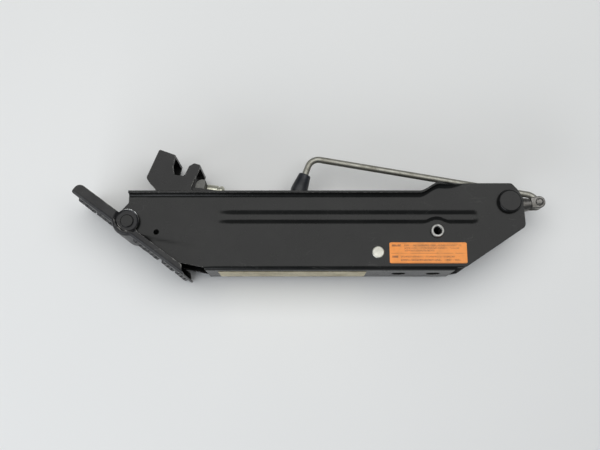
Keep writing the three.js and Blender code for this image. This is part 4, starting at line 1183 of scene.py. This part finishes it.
def ball_ring(count=10):
    """Balls spaced evenly on the cage's circle, and the cage: a thin ring through their middles."""
    middle = ball_start + BALL / 2
    circle = (SPINDLE_RADIUS + GAP + BEARING_RADIUS - 0.8) / 2
    arc = np.radians(np.linspace(-90, 90, 13))
    radius = BALL / 2 - 0.35
    across = np.array([0.0, 0.0, 1.0])
    other = np.cross(SPINDLE_AXIS, across)
    cage = lathe(ring_profile(BEARING_RADIUS - 0.8, SPINDLE_RADIUS + GAP, middle - 0.5, middle + 0.5,
                              0.2), TRUNNION_PIN_AT, SPINDLE_AXIS, 80, closed=True,
                 name="thrust_ball_ring_detail")
    for angle in np.linspace(0, 2 * np.pi, count, endpoint=False):
        centre = TRUNNION_PIN_AT + MM * (middle * SPINDLE_AXIS + circle * (
            math.cos(angle) * across + math.sin(angle) * other))
        ball = lathe(np.stack([radius * np.sin(arc), radius * np.cos(arc)], 1), centre,
                     SPINDLE_AXIS, 24)
        cut(cage, ball, "UNION")
    smooth(cage, 40)
    return cage


fit(ball_ring(), "spindle", "bare_steel", bright_steel, "thrust_ball_ring")

# ---------------------------------------------------------------- spindle screw
# A rolled trapezoidal thread on drawn steel, with a forged nose: a collar against the bearing
# and a slotted fork that takes the crank's eye.

PITCH = 3.0
THREAD_DEPTH = 1.3
EYE_AT = joint_at["crank_fold"]
EYE_DISTANCE = float(np.linalg.norm(EYE_AT - TRUNNION_PIN_AT) / MM)
COLLAR = 7.5
FORK_HALF = 7.4
FORK_EAR = 6.5
CRANK_ROD = 3.5                 # radius of the crank's bar
CRANK_PIN_HOLE = 5.6
STOP_LENGTH = 7.0
STOP_FROM_NUT = 1.2
STOP_FROM_END = 4.0
STOP_PIN = 1.5
STOP_RADIUS = 8.25
stop_centre = -(float(np.linalg.norm(TRUNNION_PIN_AT - NUT_AT) / MM) + NUT_BARREL + STOP_FROM_NUT
                + STOP_LENGTH / 2)
spindle_end = stop_centre - STOP_LENGTH / 2 - STOP_FROM_END
STOP_AT = TRUNNION_PIN_AT + stop_centre * MM * SPINDLE_AXIS
STOP_PIN_HOLE = 2 * STOP_PIN + 2 * GAP


def thread(low, high):
    """A screw: radius is a trapezoid wave of (height / pitch - angle / turn), so its crest winds
    round the bar, fading to the root radius at both ends. The ends close on the axis."""
    angle = np.linspace(0, 2 * np.pi, 48, endpoint=False)
    height = np.linspace(low, high, int((high - low) / PITCH * 10))
    wave = np.abs(((height[:, None] / PITCH - angle[None] / (2 * np.pi)) % 1) * 2 - 1)
    tooth = np.clip((wave - 0.28) / 0.44, 0, 1)
    run_out = ease(height, low, low + 3) * (1 - ease(height, high - 8, high - 4))
    radius = SPINDLE_RADIUS - THREAD_DEPTH * (1 - tooth) * run_out[:, None]
    radius = radius - 0.8 * (1 - ease(height, low, low + 1.2))[:, None]
    across = np.array([0.0, 0.0, 1.0])
    other = np.cross(SPINDLE_AXIS, across)
    spoke = np.cos(angle)[:, None] * across + np.sin(angle)[:, None] * other
    points = height[:, None, None] * SPINDLE_AXIS + radius[..., None] * spoke[None]
    ring = np.arange(len(angle))
    return surface("spindle_screw_detail", points * MM + TRUNNION_PIN_AT,
                   grid_faces(len(height), len(angle), close_columns=True),
                   caps=[ring, ring + (len(height) - 1) * len(angle)])


def spindle_screw():
    """Thread, collar, cone and fork, joined, then slotted and drilled for the crank's eye."""
    screw = thread(spindle_end, collar_start + 1)
    collar_end = collar_start + 7
    nose = [(collar_start, 0), (collar_start, COLLAR, 0.5), (collar_end, COLLAR, 0.8),
            (EYE_DISTANCE - 6, FORK_EAR, 1.5), (EYE_DISTANCE - 3, FORK_EAR - 1.5, 1), (EYE_DISTANCE - 3, 0)]
    cut(screw, lathe(round_corners(nose, 18), TRUNNION_PIN_AT, SPINDLE_AXIS, 72), "UNION")
    fork = round_corners([(-9, -FORK_EAR + 0.6, 1.5), (0, -FORK_EAR, 3), (FORK_EAR, -FORK_EAR, 6.2),
                          (FORK_EAR, FORK_EAR, 6.2), (0, FORK_EAR, 3), (-9, FORK_EAR - 0.6, 1.5)])
    cut(screw, prism("fork", fork, -FORK_HALF, FORK_HALF, EYE_AT, SPINDLE_SLOPE, 1.1), "UNION")
    slot = CRANK_ROD + 0.4
    gap = np.array([(-11.5, -20.0), (20, -20), (20, 20), (-11.5, 20)])
    cut(screw, prism("slot", gap, -slot, slot, EYE_AT, SPINDLE_SLOPE, 0.4), "DIFFERENCE")
    drilled(screw, CRANK_PIN_HOLE, [(FORK_HALF, slot)], 20, EYE_AT)
    drilled(screw, STOP_PIN_HOLE, [(SPINDLE_RADIUS, SPINDLE_RADIUS - 2)], 20, STOP_AT)
    smooth(screw, 40)
    return screw


spindle_steel = worked_steel("tarnished_forged_steel", (0.20, 0.195, 0.185), (0.11, 0.105, 0.095),
                             0.40, (10.0, 30.0, 30.0), streak=0.5, stain=0.6)
fit(spindle_screw(), "spindle", "bare_steel", spindle_steel, "spindle_screw")

# ---------------------------------------------------------------- spindle end stop
# A turned collar cross-pinned near the end of the thread, which stops the nut running off.

end_stop = lathe(ring_profile(STOP_RADIUS, SPINDLE_RADIUS + GAP, -STOP_LENGTH / 2, STOP_LENGTH / 2, 0.6),
                 STOP_AT, SPINDLE_AXIS, 72, closed=True, name="spindle_end_stop_detail")
drilled(end_stop, STOP_PIN_HOLE, [(8.1, 7.0)], 20, STOP_AT)
smooth(end_stop)
fit(end_stop, "spindle", "dark_steel", dark_steel, "spindle_end_stop")
pin_half = STOP_RADIUS - 0.4
fit(lathe(pin_profile([(-pin_half, pin_half, STOP_PIN)], 0.4), STOP_AT, Z_AXIS, 32,
          name="end_stop_pin_detail"), "spindle", "bare_steel", turned_steel, "end_stop_pin")

# ---------------------------------------------------------------- crank hinge pin
# A soft rivet through the fork and the crank's eye, headed over at both ends.

fork_out = FORK_HALF + GAP
pin_corners = [(fork_out + 1.8, 0), (fork_out + 1.8, 2.2, 1.2), (fork_out + 0.9, 4.3, 0.8),
               (fork_out, 4.1, 0.3), (fork_out, 2.5, 0.1)]
fit(lathe(round_corners(both_ends(pin_corners), 15), EYE_AT, Z_AXIS, 48, name="crank_hinge_pin_detail"),
    "spindle", "bare_steel", spindle_steel, "crank_hinge_pin")

# ---------------------------------------------------------------- crank rod
# A drawn 7 mm steel bar: a flattened eye in the fork, a shallow dip, the long leg, one bend
# and the short leg that carries the grip. The bar is bare and lightly tarnished.

CRANK_SLOPE = -9.9
CRANK_OFFSET = 7.9
CRANK_REACH = 253.0
CRANK_BEND = 12.0
CRANK_HOOK = 13.0
CRANK_EYE = 6.2
SHORT_LEAN = 10.4
GRIP_START = 20.5
GRIP_LENGTH = 40.0
CAP = 1.8
short_leg = np.array([-math.sin(math.radians(SHORT_LEAN)), -math.cos(math.radians(SHORT_LEAN))])
crank_corner = np.array([-CRANK_REACH, CRANK_OFFSET])
grip_end = GRIP_START + GRIP_LENGTH
rod_end = grip_end + GAP + CAP + 0.8


def rod_path():
    """The bar's middle line: a quadratic dip to the eye, straight, an arc, straight."""
    turn = math.radians(90 - SHORT_LEAN)
    set_back = CRANK_BEND * math.tan(turn / 2)
    t = np.linspace(0, 1, 22)[:, None]
    eye, knee, start = np.array([0.0, 0.0]), np.array([-4, CRANK_OFFSET]), np.array(
        [-CRANK_HOOK, CRANK_OFFSET])
    hook = (1 - t) ** 2 * eye + 2 * t * (1 - t) * knee + t ** 2 * start
    long_leg = start + (crank_corner + [set_back, 0] - start) * np.linspace(0, 1, 60)[1:, None]
    angle = np.pi / 2 + turn * np.linspace(0, 1, 24)[1:]
    centre = crank_corner + [set_back, -CRANK_BEND]
    arc = centre + CRANK_BEND * np.stack([np.cos(angle), np.sin(angle)], 1)
    down = crank_corner + short_leg * np.linspace(set_back, rod_end, 40)[1:, None]
    return np.concatenate([hook, long_leg, arc, down])


def crank_rod():
    """A circle of the bar's radius carried along its middle line in the side plane, drawn in by an
    eased 0.6 mm at its far end. The eye is a flat ring joined on."""
    path = rod_path()
    tangent = np.gradient(path, axis=0)
    tangent /= np.linalg.norm(tangent, axis=1, keepdims=True)
    normal = np.stack([-tangent[:, 1], tangent[:, 0]], 1)
    length = np.concatenate([[0], np.cumsum(np.linalg.norm(np.diff(path, axis=0), axis=1))])
    last = length[-1] - length
    radius = CRANK_ROD - 0.6 * (1 - ease(last, 0, 0.6))
    angle = np.linspace(0, 2 * np.pi, 40, endpoint=False)
    points = np.empty((len(path), len(angle), 3))
    points[..., :2] = path[:, None] + (radius[:, None] * np.cos(angle))[..., None] * normal[:, None]
    points[..., 2] = radius[:, None] * np.sin(angle)
    ring = np.arange(len(angle))
    rod = surface("crank_rod_detail", on_body(points, EYE_AT, CRANK_SLOPE),
                  grid_faces(len(path), len(angle), close_columns=True),
                  caps=[ring, ring + (len(path) - 1) * len(angle)])
    cut(rod, lathe(pin_profile([(-CRANK_ROD, CRANK_ROD, CRANK_EYE)], 1.2), EYE_AT, Z_AXIS, 64),
        "UNION")
    drilled(rod, CRANK_PIN_HOLE, [(CRANK_ROD, CRANK_ROD - 2)], 20, EYE_AT)
    smooth(rod, 40)
    return rod


rod_steel = worked_steel("drawn_bar", (0.42, 0.415, 0.37), (0.29, 0.28, 0.235), 0.50,
                         (3.0, 45.0, 45.0), streak=0.55, stain=0.5)
fit(crank_rod(), "crank", "bare_steel", rod_steel, "crank_rod")

# ---------------------------------------------------------------- grip and its retainer
# A hollow moulded plastic sleeve, tapered at the neck, turning freely on the short leg. A steel
# washer near the peened end of the bar keeps it on.

GRIP_TOP = 6.5
GRIP_SHOULDER = 9.2
GRIP_BOTTOM = 9.7
GRIP_NECK = 20.0
corner_at = on_body(np.array([*crank_corner, 0.0]), EYE_AT, CRANK_SLOPE)
short_axis = turned(np.array([*short_leg, 0.0]), CRANK_SLOPE)


def crank_grip():
    """A turned sleeve: rounded mouth, cone to the shoulder, then almost straight, with four
    shallow finger grooves and a rounded rim. Its bore clears the bar."""
    bore = CRANK_ROD + GAP
    height = np.linspace(GRIP_START + 1.0, grip_end - 1.6, 120)
    cone = GRIP_TOP + (GRIP_SHOULDER - GRIP_TOP) * ease(height, GRIP_START - 4, GRIP_START + GRIP_NECK)
    body = cone + (GRIP_BOTTOM - GRIP_SHOULDER) * ease(height, GRIP_START + GRIP_NECK, grip_end)
    groove = sum(np.exp(-((height - place) / 1.1) ** 2)
                 for place in GRIP_START + GRIP_NECK + np.array([2.0, 7.0, 12.0, 17.0]))
    outer = np.stack([height, body - 0.35 * groove], 1)
    quarter = np.radians(np.linspace(0, 90, 7))
    mouth = np.stack([GRIP_START + 1.0 * (1 - np.sin(quarter)), outer[0, 1] - 1.0 * (1 - np.cos(quarter))],
                     1)[::-1]
    rim = np.stack([grip_end - 1.6 * (1 - np.sin(quarter)), outer[-1, 1] - 1.6 * (1 - np.cos(quarter))], 1)
    inner = np.array([(grip_end - 0.3, bore + 0.5), (grip_end - 0.8, bore), (GRIP_START + 0.8, bore),
                      (GRIP_START + 0.3, bore + 0.5)])
    profile = np.concatenate([mouth[:-1], outer, rim[1:], inner])
    return lathe(profile, corner_at, short_axis, 80, closed=True, name="crank_grip_detail")


def grip_plastic():
    """Moulded black plastic: fine spark-eroded texture, smoother where hands polish it."""
    material, tree, shader = new_material("moulded_black_plastic")
    shader.inputs["Specular IOR Level"].default_value = 0.3
    place = own_place(tree)
    dusted = effect(tree, dust, Cloud_Scale=45.0, Speck_Scale=900.0, Amount=0.2)
    polish = ramp(tree, noise(tree, place, 70.0, 4.0), 0.35, 0.7)
    base = blend_colours(tree, polish, (0.010, 0.011, 0.014), (0.018, 0.020, 0.026))
    base = blend_colours(tree, dusted, base, (0.16, 0.165, 0.17))
    tree.links.new(base, shader.inputs["Base Color"])
    tree.links.new(calculate(tree, "ADD", calculate(tree, "MULTIPLY", polish, -0.12), 0.42),
                   shader.inputs["Roughness"])
    bump(tree, shader, noise(tree, place, 2600.0, 2.0), 0.12, 0.0001)
    return material


fit(crank_grip(), "grip", "grip_plastic", grip_plastic(), "crank_grip")
smooth(bpy.data.objects["crank_grip_detail"], 40)
cap_start = grip_end + GAP
fit(lathe(ring_profile(6.0, CRANK_ROD + GAP, cap_start, cap_start + CAP, 0.4), corner_at, short_axis,
          64, closed=True, name="grip_retainer_detail"), "crank", "bare_steel", turned_steel,
    "grip_retainer")

# ---------------------------------------------------------------- labels
# Two printed vinyl films: a small orange one beside the hinge and a long yellowed one on the
# back web. Each is stuck flat, with edges eased thin and print worn to plain bars.

FILM = 0.4
SIDE_LABEL = (-50.6, 30.0, -34.2, -12.2)
WEB_LABEL = (-230.0, -74.0, -18.0, 18.0)


def vinyl_film(name, extent, place_point):
    """A thin closed sheet over a rectangle with rounded corners: its face rises to nearly the
    film's thickness, eased to a thin edge, with slow ripples; UV runs 0 to 1 over the rectangle."""
    x0, x1, y0, y1 = extent
    u, v = np.meshgrid(np.linspace(0, 1, 60), np.linspace(0, 1, 24), indexing="ij")
    trim = 0.8
    x = x0 + (x1 - x0) * u
    y = y0 + (y1 - y0) * v
    near_end = np.clip(trim - np.minimum(x - x0, x1 - x), 0, trim)
    draw = trim - np.sqrt(np.clip(trim ** 2 - near_end ** 2, 0, None))
    y = np.clip(y, y0 + draw, y1 - draw)
    edge = np.minimum.reduce([x - x0, x1 - x, y - y0, y1 - y])
    top = FILM * (0.45 + 0.4 * ease(edge, 0, 1.0)) + 0.05 * np.sin(x * 0.23) * np.sin(y * 0.35)
    count = u.size
    points = np.concatenate([place_point(x, y, np.minimum(top, FILM)),
                             place_point(x, y, np.zeros_like(x))]).reshape(-1, 3)
    face = grid_faces(*u.shape)
    rows, columns = u.shape
    index = np.arange(count).reshape(rows, columns)
    rim = np.concatenate([index[:, 0], index[-1, 1:], index[-2::-1, -1], index[0, -2:0:-1]])
    after = np.roll(rim, -1)
    wall = np.stack([rim, after, after + count, rim + count], 1)
    made = surface(name, points, np.concatenate([face, face[:, ::-1] + count, wall]))
    flat = np.empty(len(made.data.vertices) * 3)
    made.data.vertices.foreach_get("co", flat)
    flat = flat.reshape(-1, 3)
    uv = made.data.uv_layers.new(name="film")
    loops = np.empty(len(made.data.loops), int)
    made.data.loops.foreach_get("vertex_index", loops)
    first = place_point(np.array(x0), np.array(y0), np.array(0.0))
    along = place_point(np.array(x1), np.array(y0), np.array(0.0)) - first
    up = place_point(np.array(x0), np.array(y1), np.array(0.0)) - first
    where = flat[loops] - first
    uv.data.foreach_set("uv", np.stack([where @ along / (along @ along),
                                        where @ up / (up @ up)], 1).ravel())
    smooth(made, 50)
    return made


def band(tree, value, low, high, soft=0.01):
    """1 where value lies between low and high, with soft ends."""
    return calculate(tree, "MULTIPLY", ramp(tree, value, low - soft, low + soft),
                     calculate(tree, "SUBTRACT", 1.0, ramp(tree, value, high - soft, high + soft)))


def printed_film(name, ground, faded, ink, rows, rules):
    """Vinyl film. Rows are (low, high, left, right, word density) in UV: bars broken by noise.
    Rules are thin printed lines (low, high, left, right). Grime gathers in clouds and specks."""
    material, tree, shader = new_material(name)
    uv_map = add_node(tree, "ShaderNodeUVMap", uv_map="film")
    split = add_node(tree, "ShaderNodeSeparateXYZ")
    tree.links.new(uv_map.outputs["UV"], split.inputs["Vector"])
    u, v = split.outputs["X"], split.outputs["Y"]
    place = own_place(tree)
    base = blend_colours(tree, ramp(tree, noise(tree, place, 30.0, 4.0), 0.3, 0.7), ground, faded)
    printed = None
    for low, high, left, right, density in rows:
        words = noise(tree, stretched(tree, uv_map.outputs["UV"], (95.0, (low + 1) * 37.0, 1.0)), 1.0, 2.0)
        row = calculate(tree, "MULTIPLY", band(tree, v, low, high, 0.012), band(tree, u, left, right, 0.003))
        row = calculate(tree, "MULTIPLY", row, ramp(tree, words, density, density + 0.1))
        printed = row if printed is None else calculate(tree, "MAXIMUM", printed, row)
    for low, high, left, right in rules:
        rule = calculate(tree, "MULTIPLY", band(tree, v, low, high, 0.008), band(tree, u, left, right, 0.002))
        printed = calculate(tree, "MAXIMUM", printed, rule)
    rubbed = ramp(tree, noise(tree, place, 160.0, 4.0), 0.25, 0.55)
    printed = calculate(tree, "MULTIPLY", printed, rubbed)
    base = blend_colours(tree, calculate(tree, "MULTIPLY", printed, 0.72), base, ink)
    grime = effect(tree, dust, Cloud_Scale=60.0, Speck_Scale=420.0, Amount=0.3)
    base = blend_colours(tree, grime, base, tuple(c * 0.5 for c in ink))
    tree.links.new(base, shader.inputs["Base Color"])
    tree.links.new(calculate(tree, "ADD", calculate(tree, "MULTIPLY", grime, 0.5), 0.42),
                   shader.inputs["Roughness"])
    bump(tree, shader, noise(tree, place, 240.0, 3.0), 0.15, 0.0002)
    return material


orange_film = printed_film(
    "orange_vinyl", (0.93, 0.29, 0.03), (0.84, 0.30, 0.055), (0.10, 0.035, 0.012),
    [(0.80, 0.90, 0.19, 0.93, 0.42), (0.68, 0.77, 0.19, 0.90, 0.45), (0.56, 0.65, 0.19, 0.58, 0.45),
     (0.27, 0.35, 0.14, 0.84, 0.45), (0.10, 0.20, 0.14, 0.95, 0.42), (0.80, 0.90, 0.03, 0.15, 0.30),
     (0.26, 0.36, 0.03, 0.11, 0.30)],
    [(0.465, 0.485, 0.02, 0.98), (0.955, 0.97, 0.01, 0.99), (0.03, 0.045, 0.01, 0.99)])
face_height = STAND_OUTER + GAP
fit(vinyl_film("side_label_film", SIDE_LABEL,
         lambda x, y, h: np.stack([x, y, face_height + h], -1) * MM + joint_at["arm_lift"]),
    "stand", "orange_label", orange_film, "side_label")
cream_film = printed_film(
    "yellowed_vinyl", (0.46, 0.41, 0.27), (0.36, 0.31, 0.19), (0.05, 0.045, 0.03),
    [(0.62, 0.70, 0.06, 0.80, 0.45), (0.46, 0.54, 0.06, 0.88, 0.45), (0.30, 0.38, 0.06, 0.55, 0.45)],
    [(0.82, 0.84, 0.03, 0.97), (0.16, 0.18, 0.03, 0.97)])
fit(vinyl_film("web_label_film", WEB_LABEL,
         lambda x, z, h: np.stack([x, WEB_FACE - GAP - h, z], -1) * MM + joint_at["arm_lift"]),
    "stand", "cream_label", cream_film, "web_label")

# ---------------------------------------------------------------- json import

import json
